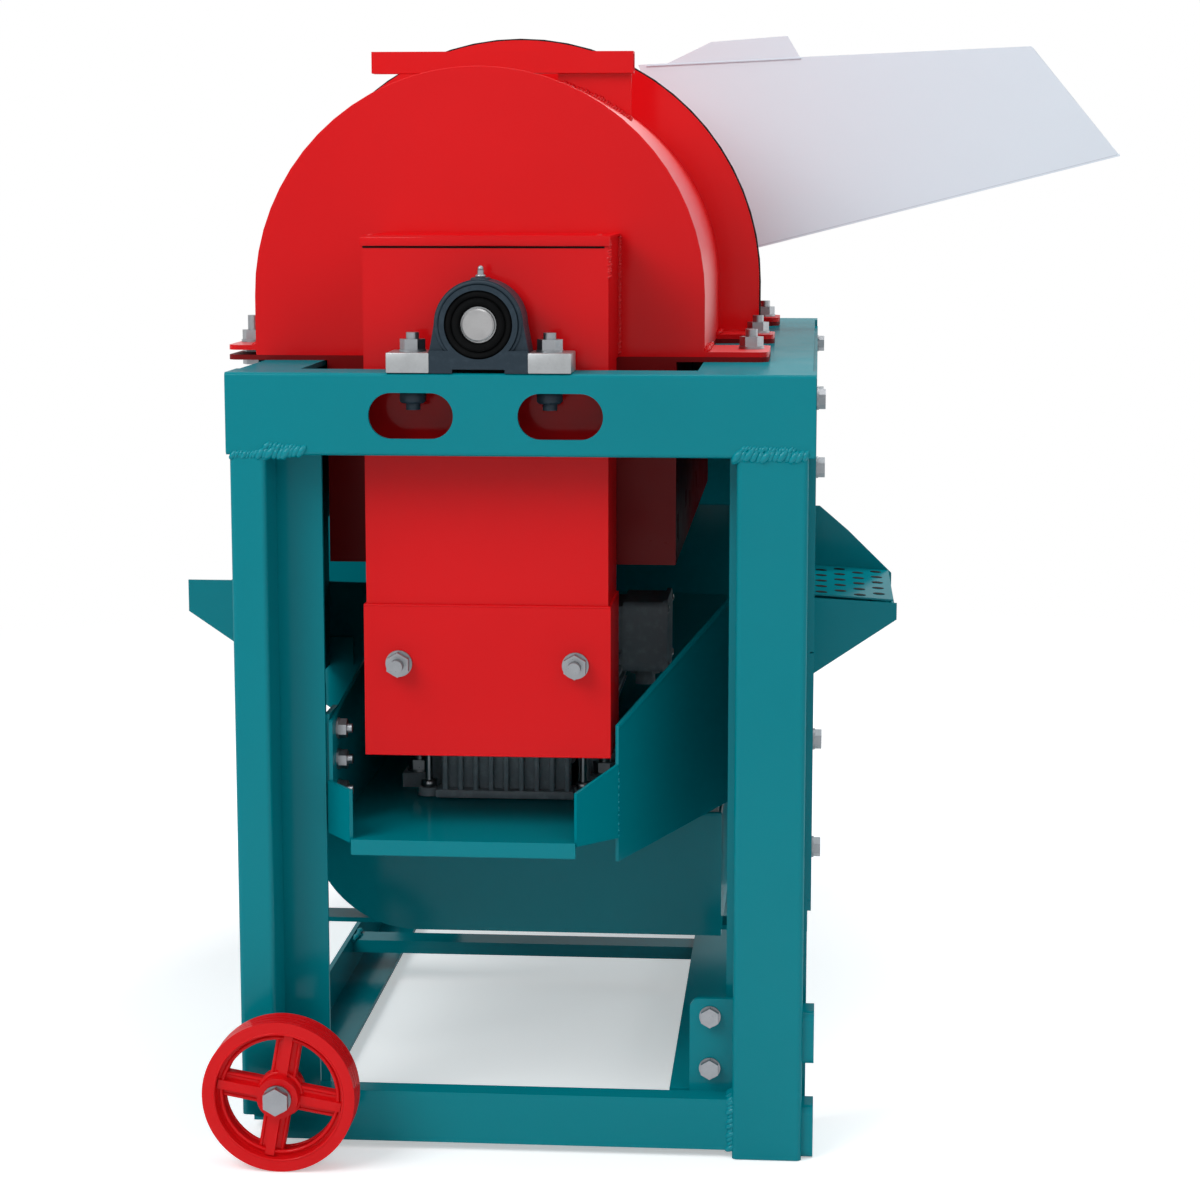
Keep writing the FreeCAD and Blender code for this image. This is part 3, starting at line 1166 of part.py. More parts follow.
def motor_tray():
    """Folded tray that carries the motor, with a turned-down lip and a spread mouth."""
    floor = plate_xy([(TRAY_MOUTH_LEFT, TRAY_FRONT), (TRAY_MOUTH_RIGHT, TRAY_FRONT),
                      (TRAY_NECK_RIGHT, TRAY_NECK), (TRAY_RIGHT, TRAY_FLARE_Y), (TRAY_RIGHT, TRAY_REAR),
                      (TRAY_LEFT, TRAY_REAR), (TRAY_LEFT, TRAY_NECK)], TRAY_FLOOR, TRAY_WALL)
    lip = box((TRAY_MOUTH_LEFT, TRAY_MOUTH_RIGHT), (TRAY_FRONT - TRAY_WALL, TRAY_FRONT),
              (TRAY_FLOOR + TRAY_WALL - TRAY_LIP, TRAY_FLOOR + TRAY_WALL))
    left = plate_yz([(TRAY_NECK, TRAY_FLOOR), (TRAY_REAR, TRAY_FLOOR), (TRAY_REAR, TRAY_SIDE_REAR_Z),
                     (TRAY_NECK, TRAY_SIDE_FRONT_Z)], TRAY_LEFT, TRAY_WALL)
    cheeks = [standing_sheet((TRAY_MOUTH_LEFT, TRAY_FRONT), (TRAY_LEFT, TRAY_NECK),
                             (TRAY_FLOOR, TRAY_FLOOR + TRAY_MOUTH_WALL),
                             (TRAY_FLOOR, TRAY_FLOOR + TRAY_MOUTH_WALL)),
              standing_sheet((TRAY_MOUTH_RIGHT, TRAY_FRONT), (TRAY_NECK_RIGHT, TRAY_NECK),
                             (TRAY_FLOOR, TRAY_FLOOR + TRAY_MOUTH_WALL),
                             (TRAY_FLOOR, TRAY_FLOOR + 1.4 * TRAY_MOUTH_WALL))]
    tray = fused([floor, lip, left] + cheeks)
    for spot in motor_foot_spots():
        start = V(spot.x, spot.y, TRAY_FLOOR)
        tray = tray.cut(rod(M10 + HOLE_FIT, start, ALONG_Z, TRAY_WALL))
    for y, z in tray_bolt_spots():
        tray = tray.cut(rod(M8 + HOLE_FIT, V(TRAY_LEFT, y, z), ALONG_X, TRAY_WALL))
    return tray


def standing_sheet(start, end, start_z, end_z):
    """An upright sheet between two floor points, each with its (low, high) heights."""
    along = V(end[0] - start[0], end[1] - start[1], 0)
    side = V(-along.y, along.x, 0).normalize().multiply(TRAY_WALL / 2)
    corners = [V(start[0], start[1], start_z[0]), V(end[0], end[1], end_z[0]),
               V(end[0], end[1], end_z[1]), V(start[0], start[1], start_z[1])]
    return face_of([point.sub(side) for point in corners]).extrude(V(side).multiply(2))


def tray_wing():
    """Big slanting plate from the tray's neck out to the right side panel."""
    reach = (SIDE_X + TRAY_WALL - TRAY_NECK_RIGHT) / (WING_X - TRAY_NECK_RIGHT)
    far_y = TRAY_NECK + reach * (WING_REAR - TRAY_NECK)
    far_z = []
    for near_z, seen_z in ((WING_FRONT_LOW, WING_REAR_LOW), (WING_FRONT_TOP, WING_REAR_TOP)):
        far_z.append(near_z + reach * (seen_z - near_z))
    sheet = standing_sheet((TRAY_NECK_RIGHT, TRAY_NECK), (SIDE_X + TRAY_WALL, far_y),
                           (WING_FRONT_LOW, WING_FRONT_TOP), (far_z[0], far_z[1]))
    room = box((0.0, SIDE_X), (BEAM_FLANGE, FRAME_DEPTH), (0.0, WING_CAP))
    return sheet.common(room)


def tray_bolt_spots():
    """(y, z) of the bolts that hang the tray on its left hanger plate."""
    return ((BEAM_FLANGE + 24.0, 275.0), (BEAM_FLANGE + 24.0, 300.0), (BEAM_FLANGE + 24.0, 325.0))


def tray_bolts():
    """Bolts through the left hanger plate and the tray wall."""
    parts = []
    for y, z in tray_bolt_spots():
        start = V(TRAY_LEFT - ANGLE_WALL - 0.4 * M8, y, z)
        parts += fastener(M8, start, ALONG_X, ANGLE_WALL + TRAY_WALL)
    return parts


def tray_hangers():
    """Plates and bearers that carry the tray on the frame."""
    left = box((-SIDE_X + ANGLE_WALL, TRAY_LEFT), (BEAM_FLANGE + ANGLE_WALL, BEAM_FLANGE + ANGLE_WALL + 4.0),
               (250.0, 340.0))
    strap = box((TRAY_LEFT - 4.0, TRAY_LEFT), (BEAM_FLANGE + ANGLE_WALL + 4.0, BEAM_FLANGE + 44.0),
                (262.0, 340.0))
    for y, z in tray_bolt_spots():
        strap = strap.cut(rod(M8 + HOLE_FIT, V(TRAY_LEFT - 4.0, y, z), ALONG_X, 4.0))
    parts = [fused([left, strap])]
    for y in (TRAY_REAR - 40.0,):
        under = TRAY_FLOOR
        half = SIDE_X - ANGLE_WALL
        parts.append(box((-half, half), (y, y + 30.0), (under - BEARER_WALL, under)))
    return parts


def bearer_cheeks():
    """Short uprights on both sides that join the rear bearer to the side panels."""
    parts = []
    y = (TRAY_REAR - 40.0, TRAY_REAR - 17.0)
    for side in (-1, 1):
        outer = side * SIDE_X
        parts.append(box(sorted((outer, outer - side * ANGLE_WALL)), y, (TRAY_FLOOR - 30.0, TRAY_FLOOR + 60.0)))
    return parts


def build_motor():
    """Motor, its tray and what holds the tray."""
    shaft_rear = MOTOR_FRONT + MOTOR_BELL
    shaft = rod(MOTOR_SHAFT_RADIUS, V(AXIS_X, PULLEY_FRONT, MOTOR_Z), ALONG_Y, shaft_rear - PULLEY_FRONT - SIDE_FIT)
    pieces["motor_frame"] = [motor_frame()]
    pieces["motor_end_shield"] = [front_bell()]
    pieces["motor_cowl"] = [rear_cowl()]
    pieces["terminal_box"] = terminal_box()
    pieces["motor_shaft"] = [shaft]
    pieces["motor_pulley"] = [pulley(MOTOR_PULLEY_RADIUS, PULLEY_FRONT, PULLEY_WIDTH, GROOVES,
                                     AXIS_X, MOTOR_Z, MOTOR_SHAFT_RADIUS, 0.0)]
    bolts = []
    for spot in motor_foot_spots():
        head = V(spot.x, spot.y, TRAY_FLOOR)
        bolts.append(bolt(M10, head, ALONG_Z, TRAY_WALL + MOTOR_FOOT_WALL + 3.0 * M10))
        bolts.append(nut(M10, V(spot.x, spot.y, spot.z + MOTOR_FOOT_WALL), ALONG_Z))
    pieces["motor_bolts"] = bolts
    tray = motor_tray()
    pieces["motor_tray"] = [tray]
    pieces["tray_wing"] = [tray_wing().cut(tray)]
    pieces["tray_hangers"] = tray_hangers() + bearer_cheeks()
    middle = PULLEY_FRONT + PULLEY_WIDTH / 2
    belts = []
    for count in range(GROOVES):
        y = middle + (count - (GROOVES - 1) / 2) * GROOVE_PITCH
        belts.append(belt(y, AXIS_X, MOTOR_Z, MOTOR_PULLEY_RADIUS, DRUM_PULLEY_RADIUS))
    pieces["drive_belts"] = belts


# Grain pan and trough
def pan_floor_z(x):
    """Height of the pan floor's underside at one X."""
    if x > AXIS_X:
        return max(PAN_EDGE_Z - PAN_SLOPE * (PAN_RIGHT_X - x), pan_bottom_z())
    return max(PAN_EDGE_Z - PAN_SLOPE * (x - PAN_LEFT_X), pan_bottom_z())


def pan_bottom_z():
    """Height of the level middle of the pan."""
    return PAN_EDGE_Z - PAN_SLOPE * (PAN_RIGHT_X - AXIS_X - PAN_BOTTOM_HALF)


def grain_pan():
    """Folded pan below the grate: two slopes, a level middle with a mouth, and end walls."""
    left_low = PAN_LEFT_X + (PAN_EDGE_Z - pan_bottom_z()) / PAN_SLOPE
    right_low = AXIS_X + PAN_BOTTOM_HALF
    low = pan_bottom_z()
    line = [(PAN_LEFT_X, PAN_EDGE_Z), (left_low, low), (right_low, low), (PAN_RIGHT_X, PAN_EDGE_Z)]
    lifted = [(x, z + PAN_WALL / math.cos(math.atan(PAN_SLOPE))) for x, z in reversed(line)]
    sheet = plate_xz(line + lifted, PAN_NEAR, PAN_FAR - PAN_NEAR)
    mouth = box((AXIS_X - PAN_MOUTH_HALF, AXIS_X + PAN_MOUTH_HALF), (PAN_NEAR + 20.0, PAN_FAR - 20.0),
                (low - 1.0, low + 2 * PAN_WALL))
    sheet = sheet.cut(mouth)
    rim = PAN_EDGE_Z + PAN_FRONT_RISE
    front = plate_xz(line + [(PAN_RIGHT_X, rim), (SIDE_X, rim + 4.0), (-SIDE_X, rim + 14.0), (PAN_LEFT_X, rim + 14.0)],
                     PAN_NEAR, PAN_WALL)
    back = plate_xz(line + [(PAN_RIGHT_X, rim), (PAN_RIGHT_X - 42.0, PAN_BACK_Z - 24.0),
                            (PAN_RIGHT_X - 70.0, PAN_BACK_Z), (PAN_LEFT_X + 90.0, PAN_BACK_Z), (PAN_LEFT_X, rim + 14.0)],
                    PAN_FAR - PAN_WALL, PAN_WALL)
    pan = fused([sheet, front, back])
    return sieve_holes(pan)


def sieve_holes(pan):
    """Rows of round holes through the right slope, where it stands out of the machine."""
    lean = math.degrees(math.atan(PAN_SLOPE))
    rows = 4
    columns = int((PAN_FAR - PAN_NEAR - 30.0) // PAN_HOLE_PITCH)
    along = PAN_HOLE_PITCH * math.cos(math.radians(lean))
    drills = []
    for row in range(rows):
        x = PAN_RIGHT_X - 16.0 - row * along
        z = pan_floor_z(x)
        for column in range(columns):
            shift = PAN_HOLE_PITCH / 2 if row % 2 else 0.0
            y = PAN_NEAR + 18.0 + column * PAN_HOLE_PITCH + shift
            normal = V(-math.sin(math.radians(lean)), 0, math.cos(math.radians(lean)))
            drills.append(rod(PAN_HOLE_RADIUS, V(x, y, z).sub(V(normal).multiply(4.0)), normal, 12.0))
    return pan.cut(Part.makeCompound(drills))


def pan_hangers():
    """Angle irons that hang the pan walls on the upper side panels."""
    parts = []
    height = (PAN_HANGER_LOW, PANEL_STEP_Z + HANGER_LAP)
    for side in (-1, 1):
        outer = side * SIDE_X
        flank = sorted((outer, outer - side * ANGLE_WALL))
        face = sorted((outer, outer - side * PAN_HANGER_FACE))
        for wall, away in ((PAN_NEAR, -1), (PAN_FAR, 1)):
            strap = box(flank, sorted((wall, wall + away * PAN_HANGER_FACE)), height)
            flange = box(face, sorted((wall, wall + away * ANGLE_WALL)),
                         (PAN_HANGER_LOW, PAN_HANGER_LOW + PAN_HANGER_FACE))
            parts.append(fused([strap, flange]))
    return parts


def trough_stirrups():
    """Flat-iron stirrups under the trough, their arms on the side panels."""
    parts = []
    for y, top in STIRRUPS:
        depth = (y, y + STIRRUP_WIDTH)
        bottom = box((-SIDE_X, SIDE_X), depth, (TROUGH_FLOOR - ANGLE_WALL, TROUGH_FLOOR))
        arms = [bottom]
        for side in (-1, 1):
            outer = side * SIDE_X
            arms.append(box(sorted((outer, outer - side * ANGLE_WALL)), depth, (TROUGH_FLOOR - ANGLE_WALL, top)))
        parts.append(fused(arms))
    return parts


def trough():
    """Rolled trough under the motor and the pan, with a rounded left side."""
    outer = trough_face(0.0, TROUGH_FRONT).extrude(V(0, TROUGH_REAR - TROUGH_FRONT, 0))
    inner = trough_face(TROUGH_WALL, TROUGH_FRONT + TROUGH_WALL)
    inner = inner.extrude(V(0, TROUGH_REAR - TROUGH_FRONT - TROUGH_WALL, 0))
    return outer.cut(inner)


def trough_face(inset, y):
    """Section of the trough, drawn inset from its outside."""
    left = TROUGH_LEFT + inset
    right = TROUGH_RIGHT - inset
    floor = TROUGH_FLOOR + inset
    rim = min(TROUGH_RIM_Z, TRAY_FLOOR - BEARER_WALL - TROUGH_CLEAR) + inset
    radius = TROUGH_CORNER - inset
    side = radius * (1.0 - math.cos(math.radians(45.0)))
    points = [V(left, y, rim), V(left, y, floor + radius), V(left + side, y, floor + side),
              V(left + radius, y, floor)]
    edges = [Part.LineSegment(points[0], points[1]).toShape(),
             Part.Arc(points[1], points[2], points[3]).toShape(),
             Part.LineSegment(points[3], V(right, y, floor)).toShape(),
             Part.LineSegment(V(right, y, floor), V(right, y, rim)).toShape(),
             Part.LineSegment(V(right, y, rim), points[0]).toShape()]
    return Part.Face(Part.Wire(edges))


def build_grain_side():
    """Pan, trough and what holds them."""
    pieces["grain_pan"] = [grain_pan()]
    pieces["lower_trough"] = [trough()]
    pieces["hangers"] = pan_hangers() + trough_stirrups()


# Wheels
def wheel():
    """Cast wheel: rim with a grooved tread, thin web spokes with ribs, and a hub."""
    near = WHEEL_FRONT
    centre = V(WHEEL_X, near, WHEEL_Z)
    rim = ring(WHEEL_RADIUS, WHEEL_RADIUS - WHEEL_RIM, centre, ALONG_Y, WHEEL_WIDTH)
    step = ring(WHEEL_RADIUS - WHEEL_RIM, WHEEL_RADIUS - WHEEL_RIM - 4.0,
                V(WHEEL_X, near + 7.0, WHEEL_Z), ALONG_Y, WHEEL_WIDTH - 14.0)
    hub_near = near - WHEEL_HUB_PROUD
    hub = rod(WHEEL_HUB_RADIUS, V(WHEEL_X, hub_near, WHEEL_Z), ALONG_Y, WHEEL_WIDTH + 2 * WHEEL_HUB_PROUD)
    shapes = [rim, step, hub]
    reach = WHEEL_RADIUS - WHEEL_RIM - 1.0
    middle = near + WHEEL_WIDTH / 2
    for count in range(WHEEL_SPOKES):
        web = box((WHEEL_X, WHEEL_X + reach), (middle - WHEEL_WEB / 2, middle + WHEEL_WEB / 2),
                  (WHEEL_Z - WHEEL_SPOKE_WIDTH / 2, WHEEL_Z + WHEEL_SPOKE_WIDTH / 2))
        rib = box((WHEEL_X, WHEEL_X + reach), (near + 4.0, near + WHEEL_WIDTH - 4.0),
                  (WHEEL_Z - WHEEL_RIB_WIDTH / 2, WHEEL_Z + WHEEL_RIB_WIDTH / 2))
        spoke = fused([web, rib])
        spoke.rotate(V(WHEEL_X, 0, WHEEL_Z), ALONG_Y, -WHEEL_SPOKE_TURN - 360.0 * count / WHEEL_SPOKES)
        shapes.append(spoke)
    body = fused(shapes)
    for count in range(TREAD_GROOVES):
        y = near + WHEEL_WIDTH * (count + 1) / (TREAD_GROOVES + 1) - 0.75
        body = body.cut(ring(WHEEL_RADIUS + 1.0, WHEEL_RADIUS - TREAD_GROOVE, V(WHEEL_X, y, WHEEL_Z), ALONG_Y, 1.5))
    bore = rod(AXLE_RADIUS + RUNNING_FIT, V(WHEEL_X, hub_near, WHEEL_Z), ALONG_Y, WHEEL_WIDTH + 2 * WHEEL_HUB_PROUD)
    return body.cut(bore)


def wheel_plate():
    """Plate on the foot of the narrow leg that carries the wheel's axle."""
    x = (-SIDE_X + 6.0, WHEEL_X + 24.0)
    plate = box(x, (-WHEEL_PLATE_WALL, 0), (LEFT_LEG_FOOT, WHEEL_Z + 34.0))
    plate = plate.makeFillet(10.0, upright_edges(plate, ALONG_Y))
    return plate.cut(rod(AXLE_RADIUS + HOLE_FIT, V(WHEEL_X, -WHEEL_PLATE_WALL, WHEEL_Z), ALONG_Y, WHEEL_PLATE_WALL))


def axle_set():
    """Axle bolt with its washer, the spacer behind the hub and the nut behind the plate."""
    hub_near = WHEEL_FRONT - WHEEL_HUB_PROUD
    hub_far = WHEEL_FRONT + WHEEL_WIDTH + WHEEL_HUB_PROUD
    washer_wall = 2.0
    washer_at = V(WHEEL_X, hub_near - SIDE_FIT - washer_wall, WHEEL_Z)
    axle = bolt(AXLE_RADIUS, washer_at, ALONG_Y, -washer_at.y + 2.0 * AXLE_RADIUS)
    washer = ring(2.0 * AXLE_RADIUS, AXLE_RADIUS + NUT_FIT, washer_at, ALONG_Y, washer_wall)
    spacer_at = V(WHEEL_X, hub_far + SIDE_FIT, WHEEL_Z)
    spacer = ring(9.5, AXLE_RADIUS + NUT_FIT, spacer_at, ALONG_Y, -WHEEL_PLATE_WALL - spacer_at.y)
    back = nut(AXLE_RADIUS, V(WHEEL_X, 0, WHEEL_Z), ALONG_Y)
    return [axle, washer, spacer, back]


def build_wheels():
    """The two transport wheels on the narrow legs."""
    pieces["front_wheel"] = [wheel()]
    pieces["rear_wheel"] = [to_rear(wheel())]
    pieces["wheel_plates"] = [wheel_plate(), to_rear(wheel_plate())]
    parts = axle_set()
    pieces["wheel_axles"] = parts + [to_rear(item) for item in parts]


def write_parts():
    """Move the machine over the origin and write one STEP file per piece."""
    os.makedirs("parts", exist_ok=True)
    everything = []
    for shapes in pieces.values():
        everything += shapes
    bounds = Part.makeCompound(everything).BoundBox
    shift = V(-(bounds.XMin + bounds.XMax) / 2, -(bounds.YMin + bounds.YMax) / 2, -bounds.ZMin)
    print("shift", round(shift.x, 4), round(shift.y, 4), round(shift.z, 4))
    print("size", round(bounds.XLength, 2), round(bounds.YLength, 2), round(bounds.ZLength, 2))
    for name, shapes in pieces.items():
        solids = []
        for shape in shapes:
            solids += shape.Solids
        whole = solids[0] if len(solids) == 1 else Part.makeCompound(solids)
        whole = whole.translated(shift)
        if not whole.isValid():
            print("not valid:", name)
        whole.exportStep(os.path.join("parts", name + ".step"))
    print("nodes", len(pieces))


build_frame()
build_drum()
build_hood()
build_guard()
build_motor()
build_grain_side()
build_wheels()
write_parts()
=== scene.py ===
import json
import math
import bpy
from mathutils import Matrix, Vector

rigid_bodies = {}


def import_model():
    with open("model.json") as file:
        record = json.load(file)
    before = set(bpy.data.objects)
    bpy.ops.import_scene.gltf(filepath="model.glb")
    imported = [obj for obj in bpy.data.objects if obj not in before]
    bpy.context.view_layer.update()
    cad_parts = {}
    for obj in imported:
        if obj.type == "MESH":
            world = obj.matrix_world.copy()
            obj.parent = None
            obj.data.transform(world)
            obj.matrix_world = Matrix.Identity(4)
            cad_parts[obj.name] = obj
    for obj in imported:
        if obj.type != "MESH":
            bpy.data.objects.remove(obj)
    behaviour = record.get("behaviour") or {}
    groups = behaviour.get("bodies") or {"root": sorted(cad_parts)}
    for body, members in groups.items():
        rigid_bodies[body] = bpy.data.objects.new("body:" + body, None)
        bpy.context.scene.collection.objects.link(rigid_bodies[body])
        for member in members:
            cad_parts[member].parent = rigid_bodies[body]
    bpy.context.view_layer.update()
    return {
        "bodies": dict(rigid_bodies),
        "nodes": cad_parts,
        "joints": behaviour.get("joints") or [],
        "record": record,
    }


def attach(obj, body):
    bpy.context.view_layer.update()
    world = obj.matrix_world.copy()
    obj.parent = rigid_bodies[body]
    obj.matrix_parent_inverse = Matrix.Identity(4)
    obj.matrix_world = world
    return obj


bl_info = {
    "name": "Corn Thresher",
    "version": (1, 0, 0),
    "blender": (4, 5, 0),
    "location": "View3D > Sidebar > Thresher",
    "description": "Dresses the corn thresher: paint, welds, trims, fasteners and the studio",
    "category": "Object",
}

# Measures
MM = 0.001
SHIFT = Vector((-80.5, -450.0, 0.0))
FRAME = {}

# Layout in millimetres: x to the right, y away from the belt side, z up from the floor.
# A gate is the y of its face and the sign that leads inwards.
GATES = ((0.0, 1), (900.0, -1))
AXIS_X = -30.0
AXIS_Z = 649.5
HOOD_X = -48.0
HOOD_Z = 665.0
HOOD_FOOT_Z = 617.5
MOTOR_Z = 348.0
WHEEL_X = -182.0
WHEEL_Z = 59.5

# Angles in degrees under which faces are shaded as one, and over which node edges are rounded
ROUND_ANGLE = 60
EDGE_ANGLE = 40
NODE_EDGE_ANGLE = 50


def P(x, y, z):
    """A point of the machine's layout, in millimetres, as metres in the shared frame."""
    return (Vector((x, y, z)) + SHIFT) * MM


# Settings
class FinishSettings(bpy.types.PropertyGroup):
    """Paint and metal finish."""
    teal: bpy.props.StringProperty(name="Teal paint", description="Frame paint, hex sRGB",
                                   default="#00808B")
    red: bpy.props.StringProperty(name="Red paint", description="Hood and guard paint, hex sRGB",
                                  default="#D81318")
    white: bpy.props.StringProperty(name="White paint", description="Hopper paint, hex sRGB",
                                    default="#E2EAF2")
    paint_roughness: bpy.props.FloatProperty(name="Paint roughness",
                                             description="Roughness of the gloss paint",
                                             default=0.13, min=0.05, max=1.0)
    peel: bpy.props.FloatProperty(name="Orange peel", description="Size of the ripple in the paint",
                                  default=0.0022, unit="LENGTH", subtype="DISTANCE")
    edge: bpy.props.FloatProperty(name="Edge round", description="Rounding of the sheet and bar edges",
                                  default=0.0006, unit="LENGTH", subtype="DISTANCE")


class WeldSettings(bpy.types.PropertyGroup):
    """Weld beads on the frame and the covers."""
    radius: bpy.props.FloatProperty(name="Bead", description="Half width of a weld bead",
                                    default=0.0042, unit="LENGTH", subtype="DISTANCE")
    pitch: bpy.props.FloatProperty(name="Pitch", description="Step between two ripples of a bead",
                                   default=0.0034, unit="LENGTH", subtype="DISTANCE")
    slant: bpy.props.FloatProperty(name="Slant", description="Slant of the ripples of a bead",
                                   default=0.6, subtype="ANGLE")


class TrimSettings(bpy.types.PropertyGroup):
    """Rolled edges, seals and small trims."""
    hem: bpy.props.FloatProperty(name="Hem", description="Radius of a rolled sheet edge",
                                 default=0.0022, unit="LENGTH", subtype="DISTANCE")
    rounds: bpy.props.IntProperty(name="Segments", description="Segments of round trims",
                                  default=64, min=16)


class StudioSettings(bpy.types.PropertyGroup):
    """Camera, light and floor."""
    key: bpy.props.FloatProperty(name="Key light", description="Power of the large soft light",
                                 default=44.0, unit="POWER")
    fill: bpy.props.FloatProperty(name="Fill light", description="Power of the fill light",
                                  default=10.0, unit="POWER")
    strip: bpy.props.FloatProperty(name="Strip light", description="Power of the light on the hood",
                                   default=12.0, unit="POWER")
    world: bpy.props.FloatProperty(name="Surroundings", description="Strength of the pale room light",
                                   default=0.5)
    lens: bpy.props.FloatProperty(name="Lens", description="Focal length in millimetres", default=82.34)


def settings(name):
    """One settings group of the scene."""
    return getattr(bpy.context.scene, "thresher_" + name)


# Materials
def linear(code):
    """Hex sRGB colour as linear RGBA."""
    values = []
    for start in (1, 3, 5):
        c = int(code[start:start + 2], 16) / 255.0
        values.append(c / 12.92 if c <= 0.04045 else ((c + 0.055) / 1.055) ** 2.4)
    return (*values, 1.0)


def add_node(tree, kind, links, operation=None):
    """A node with its inputs linked from sockets."""
    node = tree.nodes.new(kind)
    if operation:
        node.operation = operation
    for name, socket in links.items():
        tree.links.new(socket, node.inputs[name])
    return node


def blank_material(name):
    """A new node material; returns it with its tree, shader and object coordinates."""
    material = bpy.data.materials.new(name)
    material.use_nodes = True
    tree = material.node_tree
    shader = tree.nodes["Principled BSDF"]
    coords = tree.nodes.new("ShaderNodeTexCoord").outputs["Object"]
    return material, tree, shader, coords


def noise(tree, coords, size, detail=3.0, rough=0.5):
    """Noise whose features are about size metres wide."""
    node = add_node(tree, "ShaderNodeTexNoise", {"Vector": coords})
    node.inputs["Scale"].default_value = 1.0 / size
    node.inputs["Detail"].default_value = detail
    node.inputs["Roughness"].default_value = rough
    return node.outputs["Fac"]


def ramp(tree, value, low, high, out_low, out_high):
    """A clamped remap of value."""
    node = add_node(tree, "ShaderNodeMapRange", {"Value": value})
    node.inputs["From Min"].default_value = low
    node.inputs["From Max"].default_value = high
    node.inputs["To Min"].default_value = out_low
    node.inputs["To Max"].default_value = out_high
    return node.outputs["Result"]


def mixed(tree, factor, first, second):
    """A colour mix; first and second are linear colours or sockets."""
    node = tree.nodes.new("ShaderNodeMix")
    node.data_type = "RGBA"
    tree.links.new(factor, node.inputs["Factor"])
    for socket, value in ((node.inputs[6], first), (node.inputs[7], second)):
        if isinstance(value, tuple):
            socket.default_value = value
        else:
            tree.links.new(value, socket)
    return node.outputs[2]


def seen_directly(tree):
    """1 for camera, mirror and see-through rays, 0 for the rays that light the object."""
    rays = tree.nodes.new("ShaderNodeLightPath")
    total = rays.outputs["Is Camera Ray"]
    for name in ("Is Glossy Ray", "Is Transmission Ray"):
        step = tree.nodes.new("ShaderNodeMath")
        step.operation = "MAXIMUM"
        tree.links.new(total, step.inputs[0])
        tree.links.new(rays.outputs[name], step.inputs[1])
        total = step.outputs[0]
    return total


def bump(tree, height, strength, distance, below=None):
    """A bump on top of another normal."""
    node = add_node(tree, "ShaderNodeBump", {"Height": height})
    node.inputs["Strength"].default_value = strength
    node.inputs["Distance"].default_value = distance
    if below is not None:
        tree.links.new(below, node.inputs["Normal"])
    return node.outputs["Normal"]


# Widths of the patterns in the finishes and heights of their ripples, in metres
RUN_SIZE = 0.11
SPECK_SIZE = 0.006
GLOSS_SIZE = 0.045
WAVE_SIZE = 0.075
BLOTCH_SIZE = 0.012
RUBBED_SIZE = 0.009
BLOOM_SIZE = 0.02
PAINT_HEIGHT = 0.0001
METAL_HEIGHT = 0.0001
CAST_HEIGHT = 0.0003


def toned(base, share, lift=0.0):
    """A linear colour made darker or lighter."""
    return tuple(min(1.0, c * share + lift) for c in base[:3]) + (1.0,)


def paint(name, code, roughness, peel, dust=0.024, runs=0.14, coat=0.25):
    """Gloss machine paint: orange peel, slightly wavy sheet, darker runs and a little dust."""
    material, tree, shader, coords = blank_material(name)
    base = linear(code)
    tone = ramp(tree, noise(tree, coords, RUN_SIZE), 0.38, 0.68, 0.0, runs)
    colour = mixed(tree, tone, base, toned(base, 0.8))
    specks = ramp(tree, noise(tree, coords, SPECK_SIZE, 6.0, 0.7), 0.6, 0.78, 0.0, dust)
    colour = mixed(tree, specks, colour, toned(base, 0.8, 0.05))
    tree.links.new(colour, shader.inputs["Base Color"])
    patches = noise(tree, coords, GLOSS_SIZE, 5.0, 0.6)
    gloss = ramp(tree, patches, 0.3, 0.75, roughness * 0.8, roughness * 1.5)
    tree.links.new(gloss, shader.inputs["Coat Roughness"])
    shader.inputs["Roughness"].default_value = 0.6
    shader.inputs["Specular IOR Level"].default_value = 0.0
    shader.inputs["Coat Weight"].default_value = coat
    big = bump(tree, noise(tree, coords, WAVE_SIZE, 1.0), 0.55, PAINT_HEIGHT)
    fine = bump(tree, noise(tree, coords, peel, 2.0), 0.06, PAINT_HEIGHT, big)
    tree.links.new(fine, shader.inputs["Normal"])
    tree.links.new(fine, shader.inputs["Coat Normal"])
    return material


def rolled(material):
    """A duller, thicker coat on the faces that stand square to the machine's length."""
    tree = material.node_tree
    shader = tree.nodes["Principled BSDF"]
    normal = tree.nodes.new("ShaderNodeTexCoord").outputs["Normal"]
    parts = add_node(tree, "ShaderNodeSeparateXYZ", {"Vector": normal})
    lean = add_node(tree, "ShaderNodeMath", {0: parts.outputs["Y"]}, "ABSOLUTE").outputs[0]
    tree.links.new(ramp(tree, lean, 0.3, 0.7, 1.0, 0.25), shader.inputs["Coat Weight"])
    tree.links.new(ramp(tree, lean, 0.3, 0.7, 0.34, 0.12), shader.inputs["Coat Roughness"])
    return material


